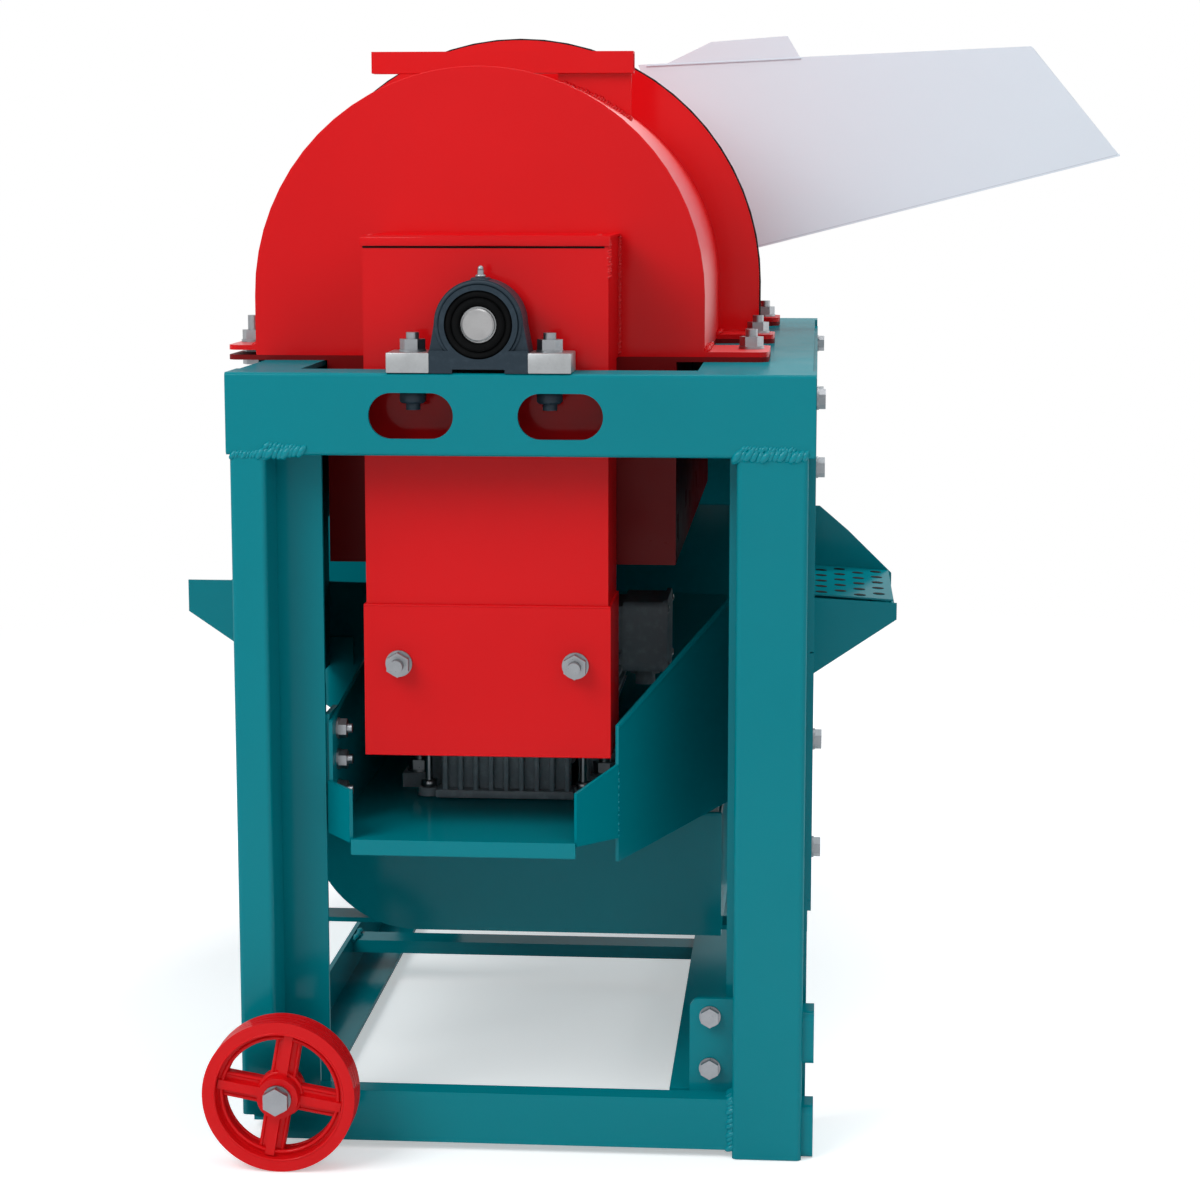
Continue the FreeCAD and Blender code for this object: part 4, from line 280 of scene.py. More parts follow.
def metal(name, code, roughness, grain=0.0012, stretch=(1.0, 1.0, 1.0), stain=None):
    """Bare or plated metal with fine grain and optional stain."""
    material, tree, shader, coords = blank_material(name)
    mapping = add_node(tree, "ShaderNodeMapping", {"Vector": coords})
    mapping.inputs["Scale"].default_value = stretch
    base = linear(code)
    dark = linear(stain) if stain else toned(base, 0.7)
    patches = noise(tree, coords, BLOTCH_SIZE, 5.0, 0.65)
    blotch = ramp(tree, patches, 0.42, 0.7, 0.0, 0.8 if stain else 0.4)
    tree.links.new(mixed(tree, blotch, base, dark), shader.inputs["Base Color"])
    fine = noise(tree, mapping.outputs["Vector"], grain, 3.0)
    gloss = ramp(tree, fine, 0.25, 0.75, roughness * 0.75, roughness * 1.35)
    tree.links.new(gloss, shader.inputs["Roughness"])
    shader.inputs["Metallic"].default_value = 1.0
    tree.links.new(bump(tree, fine, 0.18, METAL_HEIGHT), shader.inputs["Normal"])
    return material


def cast(name, code, roughness, grain=0.0016, strength=0.5):
    """Painted sand casting: rough skin under thin paint."""
    material, tree, shader, coords = blank_material(name)
    base = linear(code)
    rubbed = ramp(tree, noise(tree, coords, RUBBED_SIZE, 5.0, 0.7), 0.5, 0.75, 0.0, 0.7)
    tree.links.new(mixed(tree, rubbed, base, toned(base, 1.5, 0.01)), shader.inputs["Base Color"])
    skin = noise(tree, coords, grain, 4.0, 0.6)
    gloss = ramp(tree, skin, 0.3, 0.7, roughness * 0.8, roughness * 1.2)
    tree.links.new(gloss, shader.inputs["Roughness"])
    shader.inputs["IOR"].default_value = 1.5
    shader.inputs["Specular IOR Level"].default_value = 0.2
    tree.links.new(bump(tree, skin, strength, CAST_HEIGHT), shader.inputs["Normal"])
    return material


def rubber(name, code):
    """Black rubber with a dusty bloom."""
    material, tree, shader, coords = blank_material(name)
    base = linear(code)
    bloom = noise(tree, coords, BLOOM_SIZE, 4.0)
    tree.links.new(mixed(tree, bloom, base, toned(base, 1.0, 0.008)), shader.inputs["Base Color"])
    shader.inputs["Roughness"].default_value = 0.6
    shader.inputs["Specular IOR Level"].default_value = 0.02
    return material


def build_materials():
    """All finishes by slot name, and the extra ones used by trims."""
    f = settings("finish")
    gloss = f.paint_roughness
    return {
        "teal_paint": paint("Teal gloss enamel", f.teal, gloss, f.peel),
        "red_paint": paint("Red gloss enamel", f.red, gloss * 0.85, f.peel),
        "hood_red": rolled(paint("Red gloss enamel on rolled sheet", f.red, gloss, f.peel)),
        # The tub's deep red is painted shade for the dark inside of the machine
        "tub_red_painted_shade": paint("Red paint darkened as painted shade on the tub", "#74090C", 0.3, f.peel),
        "white_paint": paint("White gloss enamel", f.white, gloss, f.peel, dust=0.0, runs=0.05),
        # A greyer white for the hopper's rims: painted shade along the folds
        "white_rim_painted_shade": paint("White enamel greyed as painted shade at the folds", "#CCD3DC", gloss, f.peel),
        "zinc": metal("Zinc plated steel", "#94979B", 0.34),
        # Blue-black of the bearing castings; on the lower nuts it is painted shade
        "dark_cast": cast("Blue-black painted casting and painted shade on nuts", "#22303A", 0.45),
        "bearing_steel": metal("Ground bearing steel", "#9A9C9E", 0.25, 0.0008),
        "turned_steel": metal("Turned steel shaft", "#A2A2A3", 0.3, 0.0006, (1.0, 12.0, 1.0)),
        "worn_steel": metal("Worn threshing steel", "#6E6862", 0.5, 0.002, stain="#4A3426"),
        "motor_grey": cast("Grey painted aluminium casting", "#8F999F", 0.4, 0.0012, 0.3),
        "black_rubber": rubber("Black belt rubber", "#141415"),
        "weld_teal": paint("Painted weld bead, teal", "#008793", 0.12, 0.0012, 0.0, coat=0.35),
        "weld_red": paint("Painted weld bead, red", "#D01419", 0.12, 0.0012, 0.0, coat=0.35),
        # Black of the bearing seals; also the painted shadow under the lid's lip and the painted shade
        # in the sieve's holes
        "black_seal_and_painted_shade": rubber("Black bearing seal and painted shade", "#060708"),
        "bare_foot": metal("Machined iron foot", "#A4A7A9", 0.42, 0.001),
        "name_plate": metal("Blank aluminium plate", "#B8BBBE", 0.35, 0.0008, (1.0, 1.0, 14.0)),
    }


MATERIALS = {}
# Own finishes of two nodes; the tub's is the red darkened as painted shade
OWN_FINISH = {"front_hood": "hood_red", "drum_tub": "tub_red_painted_shade"}


def give(piece, slot, extra=None):
    """Put one finish on a whole piece: the extra one if given, else the slot's."""
    piece.data.materials.clear()
    piece.data.materials.append(MATERIALS[extra or slot])


# Shaping
def fresh():
    """Leave edit mode and deselect everything."""
    if bpy.context.mode != "OBJECT":
        bpy.ops.object.mode_set(mode="OBJECT")
    bpy.ops.object.select_all(action="DESELECT")


def settle(smooth=None):
    """Write the active piece's place into its mesh, and smooth it under an angle."""
    bpy.ops.object.transform_apply(location=True, rotation=True, scale=True)
    if smooth:
        bpy.ops.object.shade_smooth_by_angle(angle=math.radians(smooth))
    return bpy.context.active_object


def block(low, high, round_by=0.0):
    """A block between two layout points, its edges rounded."""
    fresh()
    a = P(*low)
    b = P(*high)
    bpy.ops.mesh.primitive_cube_add(size=1.0, location=(a + b) / 2)
    piece = bpy.context.active_object
    piece.scale = b - a
    settle()
    if round_by:
        bpy.ops.object.mode_set(mode="EDIT")
        bpy.ops.mesh.select_all(action="SELECT")
        bpy.ops.mesh.bevel(offset=round_by * MM, segments=2, affect="EDGES")
        bpy.ops.object.mode_set(mode="OBJECT")
        bpy.ops.object.shade_smooth_by_angle(angle=math.radians(EDGE_ANGLE))
    return piece


def stick(start, end, radius, sides=12):
    """A round bar between two layout points, radius in millimetres."""
    fresh()
    a = P(*start)
    b = P(*end)
    turn = (b - a).to_track_quat("Z", "Y").to_euler()
    bpy.ops.mesh.primitive_cylinder_add(vertices=sides, radius=radius * MM, depth=(b - a).length,
                                        location=(a + b) / 2, rotation=turn)
    piece = settle()
    if sides > 6:
        bpy.ops.object.shade_smooth_by_angle(angle=math.radians(EDGE_ANGLE))
    return piece


def sticks(rows):
    """Round bars given by start, end and radius, some with their number of sides."""
    return [stick(*row) for row in rows]


def loop(centre, major, minor, along="Y"):
    """A ring of round section about one axis, sizes in millimetres."""
    fresh()
    turn = {"X": (0, math.pi / 2, 0), "Y": (math.pi / 2, 0, 0)}[along]
    bpy.ops.mesh.primitive_torus_add(location=P(*centre), rotation=turn, major_radius=major * MM,
                                     minor_radius=minor * MM, minor_segments=10,
                                     major_segments=settings("trim").rounds)
    return settle(ROUND_ANGLE)


def hex_head(centre, across, height, toward):
    """A hexagon head or nut with chamfered corners, standing on centre."""
    end = tuple(c + d * height for c, d in zip(centre, toward))
    piece = stick(centre, end, across / math.sqrt(3.0), 6)
    bpy.ops.object.mode_set(mode="EDIT")
    bpy.ops.mesh.select_all(action="DESELECT")
    bpy.ops.mesh.select_mode(type="FACE")
    bpy.ops.mesh.select_face_by_sides(number=6, type="EQUAL")
    bpy.ops.mesh.bevel(offset=0.09 * across * MM, segments=1, affect="EDGES")
    bpy.ops.object.mode_set(mode="OBJECT")
    return piece


def dome(centre, radius, squash, toward):
    """A low round head, such as a rivet."""
    fresh()
    bpy.ops.mesh.primitive_uv_sphere_add(segments=20, ring_count=10, radius=radius * MM,
                                         location=P(*centre))
    piece = bpy.context.active_object
    piece.scale = [squash if abs(t) > 0.5 else 1.0 for t in toward]
    return settle(ROUND_ANGLE)


# Shape of the coins that make a bead: across, outwards and along their slant
COIN_SHAPE = (0.62, 0.75, 1.2)
COIN_SPREAD = 0.14
COIN_TILT = 0.15
BEAD_WANDER = 0.12


def bead(start, end, scale=1.0):
    """A weld bead between two layout points, laid as slanted coins like a rope."""
    w = settings("weld")
    a = P(*start)
    b = P(*end)
    run = b - a
    count = max(2, int(run.length / (w.pitch * scale)))
    slant = w.slant if abs(run.x) > abs(run.z) else math.pi / 2 - w.slant
    coins = []
    for step in range(count + 1):
        wander = math.sin(step * 2.3 + start[0])
        size = w.radius * scale * (1.0 + COIN_SPREAD * wander)
        rise = BEAD_WANDER * size * math.sin(step * 1.1)
        place = a.lerp(b, step / count) + Vector((0.0, 0.0, rise))
        fresh()
        bpy.ops.mesh.primitive_uv_sphere_add(segments=12, ring_count=8, radius=size, location=place,
                                             rotation=(0.0, slant + COIN_TILT * wander, 0.0),
                                             scale=COIN_SHAPE)
        coins.append(bpy.context.active_object)
        bpy.ops.object.shade_smooth()
    return joined(coins, "bead")


def beads(rows, face=0.0, inward=1):
    """Weld beads given by start, end and size; y counts inwards from a gate's face."""
    made = []
    for start, end, scale in rows:
        near = (start[0], face + inward * start[1], start[2])
        far = (end[0], face + inward * end[1], end[2])
        made.append(bead(near, far, scale))
    return made


def joined(parts, name):
    """Several pieces as one, at the origin."""
    fresh()
    for part in parts:
        part.select_set(True)
    bpy.context.view_layer.objects.active = parts[0]
    if len(parts) > 1:
        bpy.ops.object.join()
    piece = settle(ROUND_ANGLE)
    piece.name = name
    return piece


def finish(parts, name, slot, body="machine", extra=None):
    """Join the parts, give the finish and let the piece ride on its body."""
    piece = joined(parts, name)
    give(piece, slot, extra)
    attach(piece, body)


class StepOperator(bpy.types.Operator):
    """One step of the build."""
    bl_idname = "thresher.step"
    bl_label = "Step"

    def execute(self, context):
        """Run the step."""
        self.build()
        return {"FINISHED"}

    def build(self):
        """Replaced by each step."""


class FinishNodes(StepOperator):
    """Give every construction piece its finish and its rounded edges"""
    bl_idname = "thresher.finish_nodes"
    bl_label = "Finish pieces"

    def build(self):
        """Finish all nodes."""
        MATERIALS.update(build_materials())
        slots = {}
        for row in FRAME["record"]["subparts"]:
            slots[row["node"]] = row["material_slot"]
        edge = settings("finish").edge
        for name, node in FRAME["nodes"].items():
            node.data.materials.clear()
            node.data.materials.append(MATERIALS[OWN_FINISH.get(name, slots[name])])
            rounding = node.modifiers.new("edge round", "BEVEL")
            rounding.width = edge
            rounding.segments = 2
            rounding.limit_method = "ANGLE"
            rounding.angle_limit = math.radians(NODE_EDGE_ANGLE)
            rounding.use_clamp_overlap = False
            rounding.harden_normals = True


# Beads of a gate: start, end and size, y counted inwards from its face
GATE_BEADS = (
    ((-219, 1.2, 550), (-196, 1.2, 551), 0.8),
    ((-198, 1.2, 551), (-166, 1.2, 553), 1.15),
    ((-193, 0.8, 557), (-172, 0.8, 555), 0.8),
    ((166, 1.2, 552), (217, 1.2, 552), 1.2),
    ((170, 0.8, 557), (208, 0.8, 556), 0.7),
    ((-193.5, 5.0, 8), (-193.5, 5.0, 45), 1.0),
    ((165, 5.0, 8), (165, 5.0, 45), 1.0),
    ((-192, 24, 47), (-192, 6, 47), 1.0),
    ((164, 24, 47), (164, 6, 47), 1.0),
    ((166, 3, 549), (166, 42, 549), 1.0),
    ((-193.5, 3, 549), (-193.5, 42, 549), 1.0),
)
CROSSBAR_BEADS = (
    ((-209, 450, 43), (-209, 480, 43), 1.0),
    ((150, 450, 43), (150, 480, 43), 1.0),
)
POST_BEADS = (
    ((-210, 50, 12), (-210, 50, 46), 1.0),
    ((-160, 50, 606), (-218, 50, 606), 1.0),
)


class FrameWelds(StepOperator):
    """Weld beads where the frame's pieces meet"""
    bl_idname = "thresher.frame_welds"
    bl_label = "Frame welds"

    def build(self):
        """Lay the beads, front and rear."""
        parts = []
        for face, inward in GATES:
            parts += beads(GATE_BEADS, face, inward)
        parts += beads(CROSSBAR_BEADS)
        for face, inward in GATES:
            parts += beads(POST_BEADS, face, inward)
        finish(parts, "frame_weld_beads", "teal_paint", extra="weld_teal")


# Arches round the hood: y, radius and half width
HOOD_BLACK_BAND = (476.0, 218.2, 2.4)
HOOD_SEAMS = ((151.2, 181.6, 1.1), (799.0, 181.6, 1.0))
HOOD_BEAD = 0.7
BOX_BEAD = 0.5
LIFT_BAR_BEAD = ((-74, 281.5, 846), (-22, 281.5, 846))
# Gusset of the lift bar: both faces as y, the line where it meets the hood as x and z
GUSSET_Y = (287.4, 292.6)
GUSSET_LINE = ((8, 838), (38, 825.6), (65, 808))
# Ears: their lengths as y, the roots of the right and the left ones as x and z
EARS_Y = ((153, 247), (417, 470), (733, 797))
EAR_ROOTS = ((135.5, 621.5), (-231.5, 625.5))
BOX_CORNERS_X = (-125.5, 65.5)


class HoodTrims(StepOperator):
    """Seal, seams and welds of the hood"""
    bl_idname = "thresher.hood_trims"
    bl_label = "Hood trims"

    def build(self):
        """Black band at the flange's outer edge, rolled seams at the end discs, welds."""
        # A thin black half ring along the flange's outer edge
        finish([self.arch(*HOOD_BLACK_BAND)], "hood_flange_black_band", "black_rubber")
        seams = [self.arch(*row) for row in HOOD_SEAMS]
        finish(seams, "hood_edge_seams", "red_paint")
        finish(self.welds(), "hood_weld_beads", "red_paint", extra="weld_red")

    def welds(self):
        """Beads of the lift bar, its gusset, the ears and the corners of the box."""
        welds = [bead(*LIFT_BAR_BEAD, HOOD_BEAD)]
        for y in GUSSET_Y:
            for (x, z), (far_x, far_z) in zip(GUSSET_LINE, GUSSET_LINE[1:]):
                welds.append(bead((x, y, z), (far_x, y, far_z), HOOD_BEAD))
        for near, far in EARS_Y:
            for x, z in EAR_ROOTS:
                welds.append(bead((x, near, z), (x, far, z), HOOD_BEAD))
        for x in BOX_CORNERS_X:
            welds.append(bead((x, 149, 620), (x, 149, 712), BOX_BEAD))
        return welds

    def arch(self, y, major, minor):
        """A half ring with straight legs round the hood."""
        ring = loop((HOOD_X, y, HOOD_Z), major, minor)
        bpy.ops.object.mode_set(mode="EDIT")
        bpy.ops.mesh.select_all(action="SELECT")
        bpy.ops.mesh.bisect(plane_co=P(0, 0, HOOD_Z), plane_no=(0, 0, 1), clear_inner=True)
        bpy.ops.object.mode_set(mode="OBJECT")
        parts = [ring]
        for x in (HOOD_X - major, HOOD_X + major):
            parts.append(stick((x, y, HOOD_FOOT_Z), (x, y, HOOD_Z), minor, 10))
        return joined(parts, "arch")


# Rings on a bearing's face: depth behind the beam's face, radius and half width
CAST_RINGS = ((3.2, 31.5, 1.8), (1.8, 27.8, 1.2))
SEAL_RINGS = ((3.4, 23.0, 3.0), (1.6, 17.0, 3.3))
BEARING_MIDDLE = 19.0
BEARING_BOLT_X = (-82.5, 22.5)
NUT_TOP_Z = 600.0
# Bare bearing feet: front and back, left and right, bottom and top
FEET_Y = ((-0.5, 38.4), (861.6, 900.5))
FEET_X = ((-100.5, -67.5), (7.5, 40.5))
FEET_Z = (613.05, 628.5)


class BearingTrims(StepOperator):
    """Ribs, seals, grease nipples, lower nuts and bare feet of the pillow blocks"""
    bl_idname = "thresher.bearing_trims"
    bl_label = "Bearing trims"

    def build(self):
        """Trims of both bearings."""
        casts = []
        metals = []
        seals = []
        for face, inward in GATES:
            middle = face + inward * BEARING_MIDDLE
            for depth, major, minor in CAST_RINGS:
                casts.append(loop((AXIS_X, face + inward * depth, AXIS_Z), major, minor))
            casts.append(block((AXIS_X - 7, middle - 8, 681), (AXIS_X + 7, middle + 8, 684.6), 1.2))
            metals.append(stick((AXIS_X, middle, 684), (AXIS_X, middle, 690), 2.6))
            metals.append(dome((AXIS_X, middle, 691.2), 2.3, 1.0, (0, 0, 1)))
            metals.append(hex_head((AXIS_X, middle, 684.4), 7.5, 2.4, (0, 0, 1)))
            for depth, major, minor in SEAL_RINGS:
                seals.append(loop((AXIS_X, face + inward * depth, AXIS_Z), major, minor))
        finish(casts, "bearing_cast_ribs", "dark_cast")
        # The lower nuts take the blue-black casting paint instead of zinc: painted shade, as they sit
        # in shadow under the beams
        finish(self.lower_nuts(), "bearing_lower_nuts", "zinc", extra="dark_cast")
        finish(self.feet(), "bearing_bare_feet", "bearing_steel", extra="bare_foot")
        finish(metals, "bearing_grease_nipples", "zinc")
        finish(seals, "bearing_seals", "black_rubber", extra="black_seal_and_painted_shade")

    def lower_nuts(self):
        """Nuts and bolt ends under the beams."""
        nuts = []
        for face, inward in GATES:
            y = face + inward * BEARING_MIDDLE
            for x in BEARING_BOLT_X:
                nuts.append(hex_head((x, y, NUT_TOP_Z), 19.0, 11.0, (0, 0, -1)))
                nuts.append(stick((x, y, NUT_TOP_Z), (x, y, NUT_TOP_Z - 16.0), 5.6, 20))
        return nuts

    def feet(self):
        """Machined skins over the bearings' feet."""
        feet = []
        for near, far in FEET_Y:
            for left, right in FEET_X:
                feet.append(block((left, near, FEET_Z[0]), (right, far, FEET_Z[1]), 1.0))
        return feet


# Hems of the guard's sleeve, and weld spots on the box lid as x and radius
SLEEVE_HEMS = (
    ((-126.5, 44.6, 428.6), (66.5, 44.6, 428.6), 1.1, 10),
    ((-126.5, 44.6, 309.8), (66.5, 44.6, 309.8), 1.0, 10),
)
LID_SPOTS = ((-119, 3.4), (-114, 2.4), (58, 3.4), (62, 2.2))
LID_BEAD = ((65.2, 47.4, 684), (65.2, 47.4, 711))
LID_LIP = ((-126.6, 44.3, 707.4), (66.4, 47.0, 714.6))
# A black strip under the lid's lip: painted shadow of the overhang
LID_GAP_SHADOW = ((-124.6, 45.6, 705.9), (62.0, 46.4, 707.3))


class GuardTrims(StepOperator):
    """Hems, lid lip and welds of the belt guard"""
    bl_idname = "thresher.guard_trims"
    bl_label = "Guard trims"

    def build(self):
        """Hems of the sleeve; weld spots and lip of the box lid, and a black strip under the lip as
        painted shadow.
        """
        finish(sticks(SLEEVE_HEMS), "guard_sleeve_hems", "red_paint")
        spots = []
        for x, reach in LID_SPOTS:
            spots.append(dome((x, 46.8, 713.4), reach, 0.6, (0, 1, 0)))
        spots.append(bead(*LID_BEAD, 0.5))
        finish(spots, "guard_weld_spots", "red_paint", extra="weld_red")
        finish([block(*LID_LIP, 0.9)], "guard_lid_lip", "red_paint")
        # The black strip under the lip is painted shadow
        finish([block(*LID_GAP_SHADOW)], "guard_lid_painted_shadow", "black_rubber", extra="black_seal_and_painted_shade")


# Wheels by name, body and middle plane; their rings by distance from it, radius and half width
WHEELS = (("front", "front_wheel_body", -42.0), ("rear", "rear_wheel_body", 942.0))
WHEEL_RINGS = ((4.2, 16.6, 1.9), (6.2, 45.7, 1.6), (12.6, 50.5, 0.9))
SPOKES = 4
SPOKE_TURN = 10.0
SPOKE_EDGE = 8.4
SPOKE_FACE = 3.4
SPOKE_REACH = (16, 47)
SPOKE_BEAD = 1.5


class WheelTrims(StepOperator):
    """Cast fillets and hub rings of both wheels"""
    bl_idname = "thresher.wheel_trims"
    bl_label = "Wheel trims"

    def build(self):
        """Fillet rings at rim and hub; beads along both edges of the spokes."""
        for name, body, middle in WHEELS:
            parts = []
            for side in (-1, 1):
                for depth, major, minor in WHEEL_RINGS:
                    parts.append(loop((WHEEL_X, middle + side * depth, WHEEL_Z), major, minor))
            for step in range(SPOKES):
                parts += self.spoke(middle, math.radians(SPOKE_TURN + 360.0 / SPOKES * step))
            finish(parts, name + "_wheel_fillets", "red_paint", body)

    def spoke(self, middle, turn):
        """Four beads along the edges of one spoke."""
        along = Vector((math.cos(turn), 0.0, -math.sin(turn)))
        aside = Vector((math.sin(turn), 0.0, math.cos(turn))) * SPOKE_EDGE
        inner, outer = SPOKE_REACH
        parts = []
        for face in (-1, 1):
            centre = Vector((WHEEL_X, middle + face * SPOKE_FACE, WHEEL_Z))
            for edge in (-1, 1):
                parts.append(stick(centre + along * inner + aside * edge,
                                   centre + along * outer + aside * edge, SPOKE_BEAD))
        return parts


# Motor: radius of the end shield's screws, the plate, and the fin block that shows under the guard
SHIELD_SCREW_RADIUS = 74
NAME_PLATE = ((-2, 212, 426.5), (34, 262, 428))
FIN_COUNT = 9
FIN_START = -82.0
FIN_PITCH = 12.75
FIN_WALL = 4.4
FIN_BASE_Z = (249, 256)
FIN_Z = (255, 306)
STUD_X = (-95, 35)
STUD_Y = 172


class MotorTrims(StepOperator):
    """Screws, eye, plate, front fins and studs of the motor"""
    bl_idname = "thresher.motor_trims"
    bl_label = "Motor trims"

    def build(self):
        """Trims of the motor."""
        finish(self.screws(), "motor_screws", "zinc")
        finish(self.fins(), "motor_front_fins", "motor_grey")
        rods = []
        for x in STUD_X:
            rods.append(hex_head((x, STUD_Y, FIN_BASE_Z[1]), 12.0, 6.0, (0, 0, 1)))
            rods.append(stick((x, STUD_Y, FIN_BASE_Z[1]), (x, STUD_Y, 300), 3.0, 16))
        finish(rods, "motor_front_studs", "zinc")
        finish([block(*NAME_PLATE, 0.4)], "motor_name_plate", "motor_grey", extra="name_plate")

    def screws(self):
        """Screws of the end shield and of the terminal box, and the lifting eye."""
        metals = []
        for step in range(4):
            turn = math.radians(45.0 + 90.0 * step)
            x = AXIS_X + SHIELD_SCREW_RADIUS * math.cos(turn)
            z = MOTOR_Z + SHIELD_SCREW_RADIUS * math.sin(turn)
            metals.append(hex_head((x, 183.5, z), 10.0, 6.0, (0, -1, 0)))
        for y in (239, 307):
            for z in (350, 398):
                metals.append(dome((101.2, y, z), 3.4, 0.5, (1, 0, 0)))
        metals.append(loop((AXIS_X, 268, 438.5), 6.5, 2.2, "X"))
        return metals

    def fins(self):
        """Base, core and upright fins of the motor's front, with the seats of its studs."""
        fins = [block((-88, 158.5, FIN_BASE_Z[0]), (28, 186, FIN_BASE_Z[1]), 1.5),
                block((-84, 168, FIN_Z[0]), (24, 186, FIN_Z[1]), 2.0)]
        for step in range(FIN_COUNT):
            x = FIN_START + FIN_PITCH * step
            fins.append(block((x, 159.5, FIN_Z[0]), (x + FIN_WALL, 170, FIN_Z[1]), 1.6))
        for x in STUD_X:
            fins.append(stick((x, STUD_Y, FIN_BASE_Z[0]), (x, STUD_Y, FIN_BASE_Z[1]), 9.0, 24))
        return fins


# Wing of the tray: its top edge rises from the neck past a second point to a level cap
WING_NECK = (72.0, 46.0, 335.0)
WING_SECOND = (160.0, 200.0, 420.0)
WING_CAP_Z = 440.0
WING_RIM_FOOT = (72.6, 47, 333.5)
WING_RIM_TOP_Z = 437.5
TRAY_BEAD = ((71.5, 46.5, 246), (71.5, 46.5, 300))
TRAY_EDGES = (
    ((-133.5, 12.6, 236.6), (41.5, 12.6, 236.6), 1.4, 10),
    ((-155, 47.5, 333.8), (-155, 391, 375.4), 1.8),
)


class TrayTrims(StepOperator):
    """Rolled edges and welds of the motor tray and its wing"""
    bl_idname = "thresher.tray_trims"
    bl_label = "Tray trims"

    def build(self):
        """Rolled top of the wing, lip edge, welds."""
        share = (WING_CAP_Z - WING_NECK[2]) / (WING_SECOND[2] - WING_NECK[2])
        x = WING_NECK[0] + (WING_SECOND[0] - WING_NECK[0]) * share
        y = WING_NECK[1] + (WING_SECOND[1] - WING_NECK[1]) * share
        rim = stick(WING_RIM_FOOT, (x, y, WING_RIM_TOP_Z), settings("trim").hem / MM)
        finish([rim] + sticks(TRAY_EDGES), "tray_rolled_edges", "teal_paint")
        finish([bead(*TRAY_BEAD, 0.6)], "tray_weld_beads", "teal_paint", extra="weld_teal")


PAN_EDGES = (
    ((-347.2, 401, 367), (-347.2, 597, 367), 1.7),
    ((297.2, 401, 367), (297.2, 597, 367), 1.7),
    ((-195.5, 178, 235), (-195.5, 679, 235), 1.9),
    ((148.5, 178, 235), (148.5, 679, 235), 1.9),
    ((-195, 177.5, 235), (148, 177.5, 235), 1.9),
)
DRAIN_LUG = ((-6, 300, 121), (16, 330, 131.2))
# Perforated sheet in the right spout: middle of its inner and outer edge, width and thickness
SIEVE_HIGH = Vector((222.0, 499.0, 388.0))
SIEVE_LOW = Vector((296.0, 499.0, 383.0))
SIEVE_WIDTH = 192.0
SIEVE_WALL = 1.5
SIEVE_ROWS = 4
SIEVE_COLUMNS = 5
SIEVE_ROW_START = 9.0
SIEVE_ROW_PITCH = 17.5
SIEVE_COLUMN_START = 416.0
SIEVE_COLUMN_PITCH = 36.0
SIEVE_STAGGER = 16.0
SIEVE_HOLE = 5.4


class PanTrims(StepOperator):
    """Hems of the grain pan and the trough, drain lug, and the sheet in the right spout"""
    bl_idname = "thresher.pan_trims"
    bl_label = "Pan trims"

    def build(self):
        """Rolled edges of the spouts and the trough rim, the drain lug and the sieve."""
        finish(sticks(PAN_EDGES), "pan_rolled_edges", "teal_paint")
        finish([block(*DRAIN_LUG, 1.5)], "trough_drain_lug", "teal_paint")
        self.sieve()

    def sieve(self):
        """A perforated sheet, sloping outwards; dark plugs stand for its holes as painted shade."""
        slope = SIEVE_LOW - SIEVE_HIGH
        fresh()
        bpy.ops.mesh.primitive_cube_add(size=1.0, location=P(*((SIEVE_HIGH + SIEVE_LOW) / 2)),
                                        rotation=(0.0, math.atan2(-slope.z, slope.x), 0.0))
        sheet = bpy.context.active_object
        sheet.scale = (slope.length * MM, SIEVE_WIDTH * MM, SIEVE_WALL * MM)
        settle()
        finish([sheet], "pan_outlet_sieve", "teal_paint")
        along = slope.normalized()
        up = Vector((-along.z, 0.0, along.x))
        holes = []
        for row in range(SIEVE_ROWS):
            for column in range(SIEVE_COLUMNS):
                centre = SIEVE_HIGH + along * (SIEVE_ROW_START + SIEVE_ROW_PITCH * row)
                stagger = SIEVE_STAGGER if row % 2 else 0.0
                centre.y = SIEVE_COLUMN_START + SIEVE_COLUMN_PITCH * column + stagger
                holes.append(stick(centre - up * 0.6, centre + up * 1.05, SIEVE_HOLE, 24))
        # Black plugs in the holes: painted shade of the dark space behind the sheet
        finish(holes, "pan_outlet_sieve_holes", "black_rubber", extra="black_seal_and_painted_shade")


# Rims of the hopper: y of its walls, rims of a wall as x and z with their radius
HOPPER_WALLS_Y = (621.2, 784.8)
WALL_RIMS = (
    ((424.5, 882.4), (508.2, 781.6), 1.2),
    ((206, 873.6), (423.6, 882.9), 1.2),
    ((165, 695.2), (507.5, 782.2), 1.3),
)
MOUTH_AND_COVER_RIMS = (
    ((507.8, 621, 781.8), (507.8, 785, 781.8), 1.3),
    ((58, 619.9, 866.6), (206, 619.9, 873.4), 1.0),
)


class HopperTrims(StepOperator):
    """Folded rims and seams of the feed hopper"""
    bl_idname = "thresher.hopper_trims"
    bl_label = "Hopper trims"

    def build(self):
        """Rolled rims along both walls, the mouth and the cover."""
        parts = []
        for y in HOPPER_WALLS_Y:
            for (x, z), (far_x, far_z), radius in WALL_RIMS:
                parts.append(stick((x, y, z), (far_x, y, far_z), radius))
        parts += sticks(MOUTH_AND_COVER_RIMS)
        # The rims take the greyer white as painted shade along the folds
        finish(parts, "hopper_rolled_rims", "white_paint", extra="white_rim_painted_shade")


# Camera in layout millimetres and radians
CAMERA_PLACE = (225.25, -2059.6, 753.56)
CAMERA_TURN = (math.pi / 2 - 0.15, 0.0, 0.079)
